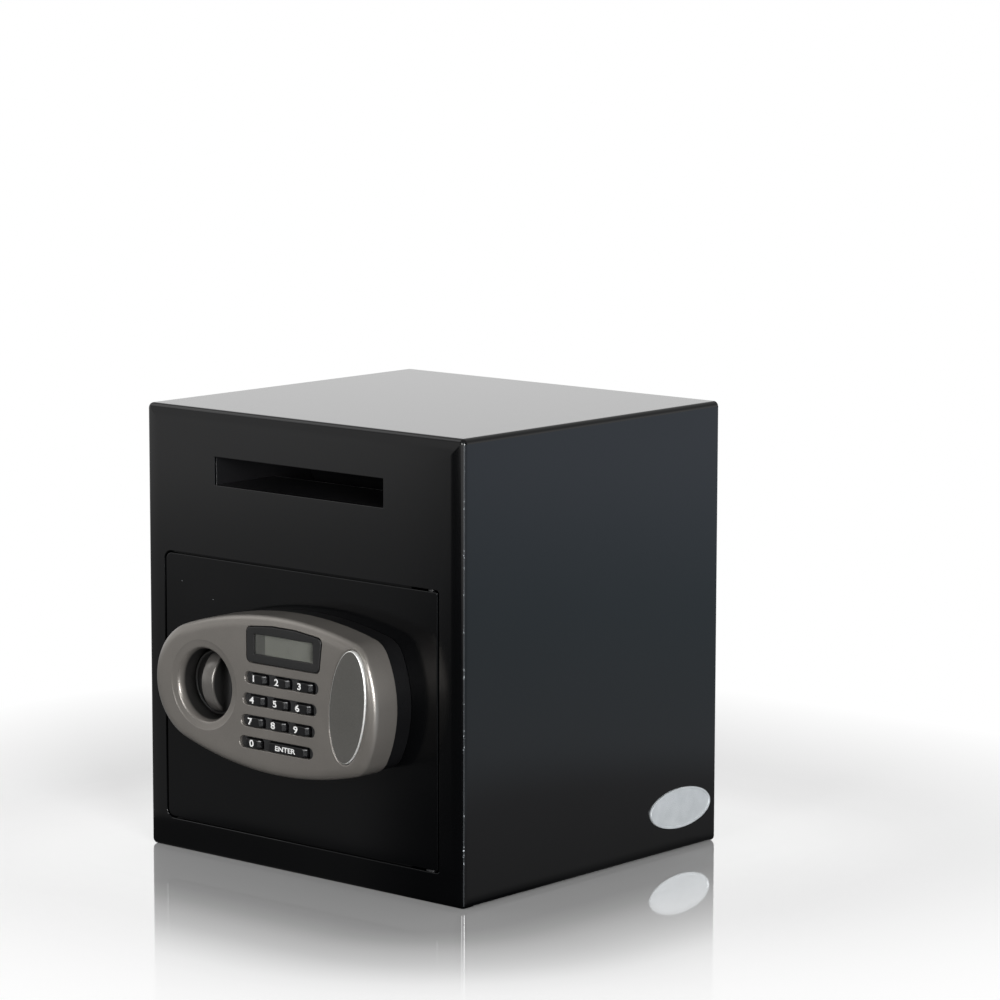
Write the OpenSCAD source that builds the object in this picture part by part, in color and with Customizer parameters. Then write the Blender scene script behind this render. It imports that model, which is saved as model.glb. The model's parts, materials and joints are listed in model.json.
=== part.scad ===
// Deposit safe: a folded steel cabinet with a slot for dropping money in, and a
// hinged door that carries an electronic lock. Millimetres, +Z up, the front faces -Y,
// and the origin is the middle of the base.

/* [Cabinet] */
// Width of the cabinet
body_w = 300; // [290:5:380]
// Depth of the cabinet without its lock panel
body_d = 274; // [250:2:340]
// Height of the cabinet
body_h = 320; // [312:4:400]
// Thickness of the cabinet's sheet steel
sheet_t = 2; // [1.5:0.5:3]
// Outer radius of the folded edges
edge_r = 4; // [3.5:0.5:6]
// How far the front sheet folds back along the cabinet
front_return = 12; // [8:1:20]
// How far the door and the slot lie from the middle of the front
front_shift = -2.5; // [-4:0.5:4]
// Thickness of the felt on the floor inside
mat_t = 2; // [1:0.5:4]
// Gap between the felt and the walls with their rounded edges
mat_gap = 1; // [0.5:0.5:3]

/* [Anchor holes] */
// Radius of the anchor holes
anchor_r = 6; // [4:0.5:8]
// Distance between the two anchor holes in the base
base_anchor_gap = 180; // [80:5:220]
// Distance between the two anchor holes in the back
back_anchor_gap = 150; // [80:5:220]
// Height of the anchor holes in the back
back_anchor_h = 200; // [60:5:220]
// How much larger the holes in the felt are
mat_hole_gap = 3; // [1:0.5:6]

/* [Deposit slot] */
// Width of the slot
slot_w = 160; // [120:5:180]
// Height of the slot
slot_h = 20; // [14:1:22]
// Distance from the top of the cabinet to the slot
slot_drop = 33; // [30:1:36]
// Length of the chute's floor behind the slot
chute_floor = 58; // [40:2:70]
// Length of the chute's roof before it slopes down
chute_roof = 84; // [76:2:96]
// How far the sloping end of the roof reaches back
hood_reach = 26; // [16:2:36]
// How far the sloping end of the roof comes down
hood_drop = 44; // [30:2:52]
// Width of one tooth of the guard against fishing
tooth_w = 8; // [5:1:12]
// Height of the teeth
tooth_h = 6; // [4:1:9]
// Height of the guard above its teeth
guard_h = 10; // [6:1:14]
// Thickness of the guard
guard_t = 1.5; // [1:0.5:2]

/* [Door] */
// Width of the front beside the door, the mean of its two sides
door_side = 21; // [20.5:0.5:25]
// Height of the door
door_h = 191; // [186:1:196]
// Thickness of the door plate
door_t = 4; // [3.5:0.5:5]
// Height of the door's lower edge
door_rise = 23.5; // [20:0.5:28]
// Gap all round the door
door_gap = 1.5; // [1.5:0.25:2.5]
// Radius of the corners on the opening side
free_corner_r = 5; // [3:0.5:8]
// Radius of the corners on the hinge side
hinge_corner_r = 1; // [0.5:0.5:2]
// Depth of the frame behind the front sheet
frame_d = 27; // [26:1:32]
// Width of the stop that the door closes on
stop_w = 3.5; // [2.5:0.25:3.5]
// Gap between the closed door and its stop
stop_gap = 0.3; // [0.2:0.1:0.5]
// How far the lock case is set in from the door's edge
case_inset = 4; // [4:0.5:6]
// Depth of the lock case behind the door plate
case_d = 24; // [24:1:28]
// Thickness of the lock case and its cover
case_t = 1.2; // [1:0.2:1.6]
// Width of the lips that the cover is screwed to
case_lip = 9; // [8:1:12]

/* [Hinge] */
// Distance of the hinge line from the door's edge
pivot_in = 9; // [8.5:0.5:11]
// Distance of the hinge line behind the door's face
pivot_back = 5; // [4.5:0.25:5]
// Radius of the hinge pins
pin_r = 2.5; // [2:0.25:3]
// Running clearance of a shaft in its hole
shaft_gap = 0.05; // [0.03:0.01:0.08]
// Length of a hinge pin inside the door
pin_hold = 22; // [16:1:30]
// How far a hinge pin passes through the frame
pin_past = 1.5; // [1:0.5:3]
// Radius of the washer under the door
washer_r = 4; // [3.5:0.25:5]
// Gap between a fixed piece and the seat it drops into
seat_gap = 0.1; // [0.05:0.05:0.2]

/* [Bolt work] */
// Radius of the locking bolts
bolt_r = 9; // [8:0.5:9]
// Travel of the locking bolts
bolt_travel = 15; // [12:0.5:15]
// Distance between the two locking bolts
bolt_gap = 124; // [110:2:130]
// How far a drawn bolt stands out of the lock case
bolt_proud = 0.5; // [0.3:0.1:0.6]
// Length of a locking bolt
bolt_len = 40; // [36:1:46]
// Thickness of the sliding bar
bar_t = 3; // [2.5:0.5:4]
// Width of the sliding bar
bar_w = 20; // [18:1:24]
// Radius of the studs that guide the bar, and of the crank's pin
stud_r = 3; // [2.5:0.25:3.5]
// Gap between a stud and its slot in the bar
slot_gap = 0.35; // [0.3:0.05:0.6]
// Angle that the knob turns to throw the bolts
knob_turn = 60; // [50:5:70]
// Thickness of the crank
crank_t = 3; // [2:0.5:4]
// Radius of the knob's spindle
spindle_r = 4; // [3:0.5:5]
// Width of the solenoid
solenoid_w = 22; // [18:1:24]
// Height of the solenoid
solenoid_h = 28; // [24:1:32]
// Travel of the solenoid's plunger
plunger_travel = 4; // [3:0.5:5]

/* [Lock panel] */
// Distance from the middle of the door to the panel's right end
panel_reach = 107; // [104:0.5:109]
// Height of the panel's middle above the door's lower edge
panel_rise = 110.5; // [104:0.5:116]
// Radius of the curve at the right end
side_r = 81; // [70:1:95]
// Angle that the curve at the right end covers on each side of its middle
side_a = 27.1; // [24:0.1:30]
// Radius of the two right-hand corners
corner_r = 18; // [16:0.5:22]
// Angle at which a corner meets the long curve
corner_a = 75; // [73.4:0.2:76.2]
// Radius of the long curves above and below
crest_r = 275; // [262:1:290]
// Radius of the left end
tip_r = 43; // [38:0.5:46]
// Depth of the black base
base_d = 15.5; // [14:0.5:18]
// Depth of the silver housing
housing_d = 24; // [22:0.5:28]
// Rounding of the housing's front edge
front_r = 5.6; // [5:0.2:10]
// Thickness of the moulded walls
wall_t = 2.5; // [2:0.25:3]
// How far the housing stands out over its base
overhang = 1; // [0.5:0.25:2]

/* [Knob] */
// Distance of the knob's middle from the panel's left end
knob_in = 49.6; // [48:0.2:53]
// Radius of the knob
knob_r = 23; // [20:0.5:23.5]
// Gap between the knob and its cup
cup_gap = 2; // [1:0.25:2.5]
// Width of the dish round the cup
dish_w = 3.5; // [2:0.25:4]
// Depth of the dish round the cup
dish_d = 3.5; // [2:0.25:4]
// How far the knob's rim lies below the panel's face
rim_drop = 14.6; // [13:0.2:15.4]
// How far the knob's crown lies below the panel's face
crown_drop = 2.6; // [2:0.2:4]
// Width of the rim round the crown
rim_w = 2; // [1.5:0.25:3]
// Half the width of the grip across the knob
grip_half = 5.3; // [4.5:0.1:6]
// Radius of the round bottom edges of the finger hollows
hollow_r = 5; // [3:0.5:6.5]
// Depth of the finger hollows below the rim
hollow_d = 4; // [3:0.25:4.5]

/* [Keys] */
// Distance between keys in a row
key_pitch = 21.8; // [20:0.2:23]
// Distance between rows
row_pitch = 15.2; // [14:0.2:16]
// How far each row is set to the left of the one above
row_step = 1.8; // [0:0.1:2.4]
// Distance of the top row's middle from the knob's middle
keys_in = 74.5; // [72:0.5:77]
// Height of the top row above the panel's middle
keys_up = 10.2; // [8:0.2:12]
// Width of a key
key_w = 16; // [13:0.5:17]
// Height of a key
key_h = 7.6; // [6:0.2:8.2]
// How far a key stands out of the panel
key_proud = 0.8; // [0.4:0.1:1.5]
// Travel of a key
key_travel = 1.2; // [0.8:0.1:1.5]
// Gap round a key
key_gap = 0.3; // [0.2:0.05:0.4]
// Length of the opening for a row
row_w = 69.5; // [66:0.5:72]
// Height of the opening for a row
row_h = 9.4; // [9:0.2:11]

/* [Display] */
// Distance of the display's middle from the knob's middle
display_in = 76; // [74:0.5:78]
// Height of the display's lower edge above the panel's middle
display_up = 22.7; // [21:0.2:25]
// Width of the display's bezel along its lower edge
bezel_w = 68; // [64:1:72]
// Height of the bezel at its left side
bezel_h = 23; // [21:0.5:24]
// How much wider the bezel is at its upper right corner
bezel_flare = 3; // [0:0.5:4]
// Rise of the arched upper edge
bezel_arch = 1.2; // [0.5:0.1:2]
// Rounding of the bezel's corners
bezel_r = 4; // [2:0.5:6]
// How far the bezel stands out of the panel
bezel_proud = 0.6; // [0.3:0.1:1]
// Width of the window
window_w = 55; // [45:1:58]
// Height of the window
window_h = 14; // [10:0.5:15]
// How far the window is set into the bezel
window_drop = 1.5; // [1:0.25:2.5]
// Thickness of the window
window_t = 1.2; // [0.8:0.1:1.6]

/* [Override lock] */
// Distance of the cover's middle from the panel's right end
cover_in = 23.8; // [22:0.2:26]
// Height of the cover's middle above the panel's middle
cover_up = 2; // [-2:0.5:4]
// Length of the cover
cover_l = 79; // [70:1:80]
// Width of the cover
cover_w = 32.6; // [28:0.2:34]
// Lean of the cover
cover_lean = 6; // [0:0.5:8]
// How far the cover stands out of the panel
cover_proud = 0.5; // [0.3:0.1:1]
// Depth of the cover
cover_d = 4.6; // [4:0.2:5.5]
// Thickness of the cover's wall
cover_t = 1.6; // [1.2:0.1:2]
// Gap round the cover
cover_gap = 0.4; // [0.3:0.05:0.6]
// Radius of the lock barrel
barrel_r = 9; // [8:0.5:10]
// Radius of the plug that the key turns
plug_r = 5.5; // [4.5:0.25:6]
// Length of the cam on the plug
cam_l = 20; // [14:1:22]

/* [Power and reset] */
// Radius of a battery
cell_r = 7.1; // [6.8:0.1:7.2]
// Length of a battery
cell_l = 49; // [48:0.5:50]
// Number of batteries
cells = 4; // [2:1:4]
// Travel of the battery lid before it lifts off
lid_travel = 10; // [6:1:14]
// Radius of the reset button
reset_r = 4; // [3:0.5:5]
// Travel of the reset button
reset_travel = 1.5; // [1:0.25:2]

/* [Badge] */
// Length of the blank badge on the side
badge_l = 68; // [50:1:80]
// Height of the badge
badge_h = 29; // [20:1:34]
// Distance of the badge's middle from the back
badge_in = 40.4; // [38:0.2:60]
// Height of the badge's middle above the floor
badge_up = 31.4; // [24:0.2:60]
// Thickness of the badge
badge_t = 1.4; // [1:0.1:2]
// Height of the badge's rim above its field
badge_rim = 0.5; // [0.3:0.1:0.8]
// Width of the badge's rim
badge_rim_w = 1.6; // [1:0.1:2.5]

/* [Hidden] */
$fn = 48;

// Gap left between a moving piece and the piece that stops it
rest_gap = 0.3;
// Cabinet
front_y = -body_d/2;
back_y = body_d/2;
sheet_back = front_y + sheet_t;
wrap_front = front_y + front_return;
// Slot
slot_z1 = body_h - slot_drop;
slot_z0 = slot_z1 - slot_h;
slot_x0 = front_shift - slot_w/2;
slot_x1 = front_shift + slot_w/2;
floor_end = sheet_back + chute_floor;
bend_y = sheet_back + chute_roof;
hood_y = bend_y + hood_reach;
hood_z = slot_z1 - hood_drop;
// Door and its frame
door_x0 = -body_w/2 + door_side + front_shift;
door_x1 = body_w/2 - door_side + front_shift;
door_z0 = door_rise;
door_z1 = door_rise + door_h;
door_mid = door_rise + door_h/2;
door_back = front_y + door_t;
open_x0 = door_x0 - door_gap;
open_x1 = door_x1 + door_gap;
open_z0 = door_z0 - door_gap;
open_z1 = door_z1 + door_gap;
frame_back = sheet_back + frame_d;
stop_y = door_back + stop_gap;
// Lock case
case_x0 = door_x0 + case_inset;
case_x1 = door_x1 - case_inset;
case_z0 = door_z0 + case_inset;
case_z1 = door_z1 - case_inset;
case_back = door_back + case_d;
cover_back = case_back + case_t;
screw_r = 1.5;
screw_head_r = 3;
screw_head_t = 1.4;
// Hinge line
pivot_x = door_x1 - pivot_in;
pivot_y = front_y + pivot_back;
stop_end = pivot_x - 2*pivot_in;
block_half = 6;
block_d = 6.5;
// Bolt work
bolt_y = door_back + case_d/2;
bolt_tip = case_x0 - bolt_proud;
bar_seat = 12;
bar_end = 6;
bar_x0 = bolt_tip + bolt_len - bar_seat;
bar_x1 = bar_x0 + bar_w;
bar_front = bolt_y - bar_t/2;
bar_back = bolt_y + bar_t/2;
bolt_zs = [door_mid - bolt_gap/2, door_mid + bolt_gap/2];
strike_gap = 0.5;
guide_t = 2;
guide_in = 5;
guide_rim = 4;
guide_x = case_x0 + case_t + guide_in;
guide_half = bolt_r + guide_rim;
slot_r = stud_r + slot_gap;
slot_land = 5;
stud_x = bar_x1 + slot_r + slot_land;
tab_x1 = stud_x + bolt_travel + slot_r + slot_land;
tab_half = slot_r + slot_land;
// Knob and crank
panel_x1 = (door_x0 + door_x1)/2 + panel_reach;
panel_z = door_z0 + panel_rise;
crank_half = knob_turn/2;
crank_l = bolt_travel/(2*sin(crank_half));
crank_gap = 1;
crank_front = door_back + crank_gap;
crank_back = crank_front + crank_t;
bush_t = 2.5;
bush_r = spindle_r + bush_t;
// Panel outline: tangent arcs, mirrored about the panel's middle line
crest_a = 180 - asin(((crest_r - corner_r)*sin(corner_a) - (side_r - corner_r)*sin(side_a))
    /(crest_r - tip_r));
side_c = [panel_x1 - side_r, 0];
corner_c = side_c + (side_r - corner_r)*[cos(side_a), sin(side_a)];
crest_c = corner_c - (crest_r - corner_r)*[cos(corner_a), sin(corner_a)];
tip_c = crest_c + (crest_r - tip_r)*[cos(crest_a), sin(crest_a)];
panel_x0 = tip_c.x - tip_r;
seam_y = front_y - base_d;
face_y = seam_y - housing_d;
face_in = face_y + wall_t;
base_floor = front_y - wall_t;
knob_x = panel_x0 + knob_in;
cup_r = knob_r + cup_gap;
cup_floor = seam_y - wall_t;
rim_y = face_y + rim_drop;
knob_clear = 0.5;
knob_back = cup_floor - knob_clear;
crown_base = knob_r - rim_w;
crown_h = rim_drop - crown_drop;
crown_r = (crown_base*crown_base + crown_h*crown_h)/(2*crown_h);
// The hollows reach just past the crown, so no sliver of it is left outside them
hollow_reach = crown_base + 0.25;
hollow_floor = rim_y + hollow_d;
hollow_y = hollow_floor - hollow_r;
spindle_end = 2;
spindle_front = rim_y + spindle_end;
spindle_back = crank_back + spindle_end;
// Solenoid: its plunger stands under the bar's arm
arm_z0 = panel_z + spindle_r + slot_gap;
arm_z1 = panel_z + crank_l + slot_r + slot_land;
plunger_r = 3;
plunger_in = 25;
plunger_x = knob_x + plunger_in;
plunger_out = 12;
plunger_top = arm_z0 - rest_gap;
arm_x1 = plunger_x - plunger_r - rest_gap + bolt_travel;
solenoid_z1 = plunger_top - plunger_out;
solenoid_z0 = solenoid_z1 - solenoid_h;
solenoid_half_d = 11;
plunger_z0 = solenoid_z0 + 8;
collar_t = 1.5;
collar_z = plunger_top - collar_t - 2;
collar_r = plunger_r + 2;
// Keys, from the panel's face inwards
frame_t = 2;
flange_t = 1;
flange_rim = 1;
key_front = face_y - key_proud;
key_frame_back = face_in + frame_t;
flange_front = key_frame_back + rest_gap;
flange_back = flange_front + flange_t;
mat_front = flange_back + key_travel + rest_gap;
key_mat_t = 0.8;
board_front = mat_front + key_mat_t;
board_t = 1.6;
board_back = board_front + board_t;
rows = 4;
rows_x = knob_x + keys_in;
rows_z = panel_z + keys_up;
frame_rim = 1.5;
keys_x0 = rows_x - (rows - 1)*row_step - row_w/2 - frame_rim;
keys_x1 = rows_x + row_w/2 + frame_rim;
keys_z0 = rows_z - (rows - 1)*row_pitch - row_h/2 - frame_rim;
keys_z1 = rows_z + row_h/2 + frame_rim;
peg_r = 2;
pegs = [[keys_x0 + peg_r + 0.5, keys_z1 - peg_r - 1], [keys_x1 - peg_r - 0.5, keys_z0 + peg_r + 1]];
// Display
display_x = knob_x + display_in;
display_z = panel_z + display_up;
bezel_rim = 1.6;
bezel_front = face_y - bezel_proud;
bezel_back = face_in + 1.4;
window_front = bezel_front + window_drop;
window_rim = 1.5;
window_z = display_z + bezel_h/2 + 0.5;
// Override lock
cover_x = panel_x1 - cover_in;
cover_z = panel_z + cover_up;
cover_front = face_y - cover_proud;
pocket_floor = cover_front + cover_d + rest_gap;
barrel_flange = barrel_r + 1.5;
barrel_front = pocket_floor - 1.2;
nut_t = 3;
barrel_back = door_back + nut_t + 1.5;
cam_front = barrel_back + rest_gap;
cam_t = 2;
cam_back = cam_front + cam_t;
cam_half = plug_r + 1;
// Batteries
box_t = 1.5;
box_w = cells*2*cell_r + 1;
box_h = cell_l + 3;
box_x1 = case_x1 - case_t - case_lip - 3;
box_x0 = box_x1 - box_w - 2*box_t;
box_z0 = case_z0 + case_t + case_lip + 3;
box_z1 = box_z0 + box_h + 2*box_t;
cell_y = case_back - 0.5 - cell_r;
box_floor = cell_y + cell_r - 2*cell_r - 0.1;
lid_t = 2;
lid_rim = 4;
lid_gap = 0.2;
// Reset button
reset_in = 14;
reset_x = case_x1 - case_t - case_lip - reset_in;
reset_z = case_z1 - case_t - case_lip - reset_in;
reset_half = reset_r + 4;
reset_back = cover_back + 2;
reset_flange = reset_r + 1;
reset_d = 9;
// Screws that hold the lock panel, from inside the door
tip_screw_in = 12;
mid_screw_in = 55;
mid_screw_up = 30;
mid_screw_down = 40;
end_screw_in = 12;
end_screw_down = 26;
screw_spots = [[panel_x0 + tip_screw_in, panel_z], [knob_x + mid_screw_in, panel_z + mid_screw_up],
    [knob_x + mid_screw_in, panel_z - mid_screw_down], [panel_x1 - end_screw_in, panel_z - end_screw_down]];
boss_r = 4.5;
shank_r = 2;
boss_d = 10;
// Cable from the board to the solenoid
cable_r = 1.8;
cable_bend = 6;
cable_in = 75;
cable_up = 14;
cable_x = knob_x + cable_in;
cable_z = solenoid_z0 + cable_up;
// Badge
badge_y = back_y - badge_in;

// Plain block between two corners
module slab(low, high) {
    translate(low) cube(high - low);
}

// Rods along the three axes
module rod_x(r, x0, x1, y, z) {
    translate([x0, y, z]) rotate([0, 90, 0]) cylinder(r = r, h = x1 - x0);
}

module rod_y(r, y0, y1, x, z) {
    translate([x, y0, z]) rotate([-90, 0, 0]) cylinder(r = r, h = y1 - y0);
}

module rod_z(r, z0, z1, x, y) {
    translate([x, y, z0]) cylinder(r = r, h = z1 - z0);
}

// Flat outline seen from the front, carried from y0 back to y1
module prism_y(y0, y1) {
    translate([0, y1, 0]) rotate([90, 0, 0]) linear_extrude(y1 - y0) children();
}

// Rectangle whose left and right corners have their own radii
module sheet_outline(x0, z0, x1, z1, r0, r1) {
    translate([x0 + r0, z0]) square([x1 - x0 - r0 - r1, z1 - z0]);
    translate([x0, z0 + r0]) square([r0, z1 - z0 - 2*r0]);
    translate([x1 - r1, z0 + r1]) square([r1, z1 - z0 - 2*r1]);
    for (z = [z0 + r0, z1 - r0]) translate([x0 + r0, z]) circle(r = r0);
    for (z = [z0 + r1, z1 - r1]) translate([x1 - r1, z]) circle(r = r1);
}

// Slot with round ends along X, between two end centres
module round_slot_x(x0, x1, z, r, y0, y1) {
    for (x = [x0, x1]) rod_y(r, y0, y1, x, z);
    slab([x0, y0, z - r], [x1, y1, z + r]);
}

module round_slot_z(x, z0, z1, r, y0, y1) {
    for (z = [z0, z1]) rod_y(r, y0, y1, x, z);
    slab([x - r, y0, z0], [x + r, y1, z1]);
}

// Cross-section of the cabinet, inset by d
module cabinet_outline(d) {
    r = edge_r - d;
    sheet_outline(-body_w/2 + d, d, body_w/2 - d, body_h - d, r, r);
}

// Front end of the cabinet with its edges and corners rounded, inset by d
module soft_front(d, y1) {
    r = edge_r - d;
    x = body_w/2 - edge_r;
    z0 = edge_r;
    z1 = body_h - edge_r;
    y = front_y + edge_r;
    prism_y(y, y1) cabinet_outline(d);
    slab([-x, y - r, z0], [x, y, z1]);
    for (s = [-1, 1]) rod_z(r, z0, z1, s*x, y);
    for (z = [z0, z1]) rod_x(r, -x, x, y, z);
    for (s = [-1, 1], z = [z0, z1]) translate([s*x, y, z]) sphere(r = r);
}

// Door outline grown by g all round
module door_outline(g) {
    sheet_outline(door_x0 - g, door_z0 - g, door_x1 + g, door_z1 + g,
        free_corner_r + g, hinge_corner_r + g);
}

// Cabinet

module body_wrap() {
    color([0.05, 0.05, 0.055]) difference() {
        prism_y(wrap_front, back_y) cabinet_outline(0);
        prism_y(wrap_front - 1, back_y + 1) cabinet_outline(sheet_t);
        for (s = [-1, 1]) rod_z(anchor_r, -1, sheet_t + 1, s*base_anchor_gap/2, 0);
    }
}

module front_sheet() {
    color([0.05, 0.05, 0.055]) difference() {
        soft_front(0, wrap_front);
        soft_front(sheet_t, wrap_front + 1);
        slab([slot_x0, front_y - 1, slot_z0], [slot_x1, sheet_back + 1, slot_z1]);
        prism_y(front_y - 1, sheet_back + 1) door_outline(door_gap);
    }
}

module back_plate() {
    color([0.05, 0.05, 0.055]) difference() {
        prism_y(back_y - sheet_t, back_y) cabinet_outline(sheet_t);
        for (s = [-1, 1]) rod_y(anchor_r, back_y - sheet_t - 1, back_y + 1, s*back_anchor_gap/2, back_anchor_h);
    }
}

// Frame folded round three sides of the door opening: it carries the hinge pins and stops the door
module door_frame() {
    color([0.06, 0.06, 0.065]) difference() {
        union() {
            slab([open_x0, sheet_back, open_z0 - sheet_t], [open_x1, frame_back, open_z0]);
            slab([open_x0, sheet_back, open_z1], [open_x1, frame_back, open_z1 + sheet_t]);
            slab([open_x1, sheet_back, open_z0 - sheet_t], [open_x1 + sheet_t, frame_back, open_z1 + sheet_t]);
            slab([open_x0, stop_y, open_z0], [open_x0 + stop_w, stop_y + sheet_t, open_z1]);
            slab([open_x0, stop_y, open_z0], [stop_end, stop_y + sheet_t, open_z0 + stop_w]);
            slab([open_x0, stop_y, open_z1 - stop_w], [stop_end, stop_y + sheet_t, open_z1]);
        }
        rod_z(pin_r + shaft_gap, open_z0 - sheet_t - 1, open_z0 + 1, pivot_x, pivot_y);
        rod_z(pin_r + shaft_gap, open_z1 - 1, open_z1 + sheet_t + 1, pivot_x, pivot_y);
    }
}

// Fourth side of the frame, whose square holes take the thrown bolts
module strike_jamb() {
    color([0.06, 0.06, 0.065]) difference() {
        slab([open_x0 - sheet_t, sheet_back, open_z0 - sheet_t], [open_x0, frame_back, open_z1 + sheet_t]);
        for (z = bolt_zs) slab([open_x0 - sheet_t - 1, bolt_y - bolt_r - strike_gap, z - bolt_r - strike_gap],
            [open_x0 + 1, bolt_y + bolt_r + strike_gap, z + bolt_r + strike_gap]);
    }
}

// Side view of the chute's cheeks
module chute_side() {
    polygon([[sheet_back, slot_z0 - sheet_t], [floor_end, slot_z0 - sheet_t], [hood_y, hood_z],
        [bend_y, slot_z1 + sheet_t], [sheet_back, slot_z1 + sheet_t]]);
}

// Carries a side view (y, z) across the cabinet from x0 to x1
module prism_x(x0, x1) {
    translate([x0, 0, 0]) rotate([90, 0, 90]) linear_extrude(x1 - x0) children();
}

module deposit_chute() {
    color([0.07, 0.07, 0.075]) {
        prism_x(slot_x0 - sheet_t, slot_x0) chute_side();
        prism_x(slot_x1, slot_x1 + sheet_t) chute_side();
        slab([slot_x0, sheet_back, slot_z0 - sheet_t], [slot_x1, floor_end, slot_z0]);
        slab([slot_x0, sheet_back, slot_z1], [slot_x1, bend_y, slot_z1 + sheet_t]);
        prism_x(slot_x0, slot_x1) polygon([[bend_y, slot_z1], [hood_y, hood_z - sheet_t],
            [hood_y, hood_z], [bend_y, slot_z1 + sheet_t]]);
    }
}

// Row of teeth under the end of the chute's floor
module fishing_guard() {
    top = slot_z0;
    edge = slot_z0 - sheet_t - guard_h;
    n = floor(slot_w/tooth_w);
    pitch = slot_w/n;
    color([0.35, 0.36, 0.37]) prism_y(floor_end, floor_end + guard_t) polygon(concat(
        [[slot_x1, top], [slot_x0, top], [slot_x0, edge]],
        [for (i = [0:n - 1], k = [0, 1]) k == 0
            ? [slot_x0 + (i + 0.5)*pitch, edge - tooth_h] : [slot_x0 + (i + 1)*pitch, edge]]));
}

module floor_felt() {
    in = edge_r + mat_gap;
    x = body_w/2 - in;
    color([0.16, 0.16, 0.17]) difference() {
        slab([-x, front_y + in, sheet_t], [x, back_y - sheet_t - mat_gap, sheet_t + mat_t]);
        for (s = [-1, 1]) rod_z(anchor_r + mat_hole_gap, sheet_t - 1, sheet_t + mat_t + 1, s*base_anchor_gap/2, 0);
    }
}

// Oval outline with half axes a and b, turned by t
function oval(a, b, t, n) = [for (i = [0:n - 1]) let (u = a*cos(360*i/n), v = b*sin(360*i/n))
    [u*cos(t) - v*sin(t), u*sin(t) + v*cos(t)]];

module side_badge() {
    sides = 64;
    color([0.72, 0.74, 0.75]) translate([body_w/2, badge_y, badge_up]) rotate([90, 0, 90]) difference() {
        linear_extrude(badge_t) polygon(oval(badge_l/2, badge_h/2, 0, sides));
        translate([0, 0, badge_t - badge_rim]) linear_extrude(badge_t)
            polygon(oval(badge_l/2 - badge_rim_w, badge_h/2 - badge_rim_w, 0, sides));
    }
}

module hinge_washer() {
    color([0.85, 0.85, 0.82]) difference() {
        rod_z(washer_r, open_z0, door_z0 - rest_gap, pivot_x, pivot_y);
        rod_z(pin_r + shaft_gap, open_z0 - 1, door_z0, pivot_x, pivot_y);
    }
}

// Door

module door_plate() {
    color([0.05, 0.05, 0.055]) difference() {
        prism_y(front_y, door_back) door_outline(0);
        rod_y(bush_r + seat_gap, front_y - 1, door_back + 1, knob_x, panel_z);
        rod_y(barrel_r + seat_gap, front_y - 1, door_back + 1, cover_x, cover_z);
        rod_y(cable_r + 1, front_y - 1, door_back + 1, cable_x, cable_z);
        for (p = screw_spots) rod_y(shank_r + seat_gap, front_y - 1, door_back + 1, p.x, p.y);
        rod_z(pin_r + seat_gap, door_z1 - pin_hold, door_z1 + 1, pivot_x, pivot_y);
        rod_z(pin_r + seat_gap, door_z0 - 1, door_z0 + pin_hold, pivot_x, pivot_y);
    }
}

// Places for the cover's screws, in the middle of the case's lips
function cover_spots() = let (m = case_t + case_lip/2)
    [for (x = [case_x0 + m, case_x1 - m], z = [case_z0 + m, door_mid, case_z1 - m]) [x, z]];

module lock_case() {
    color([0.07, 0.07, 0.075]) difference() {
        slab([case_x0, door_back, case_z0], [case_x1, case_back, case_z1]);
        slab([case_x0 + case_t, door_back - 1, case_z0 + case_t],
            [case_x1 - case_t, case_back - case_t, case_z1 - case_t]);
        slab([case_x0 + case_t + case_lip, door_back, case_z0 + case_t + case_lip],
            [case_x1 - case_t - case_lip, case_back + 1, case_z1 - case_t - case_lip]);
        for (z = bolt_zs) rod_x(bolt_r + strike_gap, case_x0 - 1, case_x0 + case_t + 1, bolt_y, z);
        for (z = [case_z0 - 1, case_z1 - case_t - 1]) rod_z(pin_r + seat_gap, z, z + case_t + 2, pivot_x, pivot_y);
        for (p = cover_spots()) rod_y(screw_r + seat_gap, case_back - case_t - 1, case_back + 1, p.x, p.y);
    }
}

module case_cover() {
    color([0.07, 0.07, 0.075]) difference() {
        slab([case_x0, case_back, case_z0], [case_x1, cover_back, case_z1]);
        slab([box_x0 + box_t, case_back - 1, box_z0 + box_t], [box_x1 - box_t, cover_back + 1, box_z1 - box_t]);
        rod_y(reset_r + rest_gap, case_back - 1, cover_back + 1, reset_x, reset_z);
        for (p = cover_spots()) rod_y(screw_r + seat_gap, case_back - 1, cover_back + 1, p.x, p.y);
    }
}

module cover_screws() {
    color([0.6, 0.6, 0.62]) for (p = cover_spots()) {
        rod_y(screw_head_r, cover_back, cover_back + screw_head_t, p.x, p.y);
        rod_y(screw_r, case_back - case_t - 2, cover_back, p.x, p.y);
    }
}

module hinge_pins() {
    past = door_gap + sheet_t + pin_past;
    color([0.6, 0.6, 0.62]) {
        rod_z(pin_r, door_z1 - pin_hold, door_z1 + past, pivot_x, pivot_y);
        rod_z(pin_r, door_z0 - past, door_z0 + pin_hold, pivot_x, pivot_y);
    }
}

// Blocks welded in the case's corners, which hold the pins against the plate
module hinge_blocks() {
    color([0.5, 0.5, 0.52]) difference() {
        union() {
            slab([pivot_x - block_half, door_back, door_z1 - pin_hold],
                [case_x1 - case_t, door_back + block_d, case_z1 - case_t]);
            slab([pivot_x - block_half, door_back, case_z0 + case_t],
                [case_x1 - case_t, door_back + block_d, door_z0 + pin_hold]);
        }
        rod_z(pin_r + seat_gap, case_z0, case_z1, pivot_x, pivot_y);
    }
}

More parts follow.
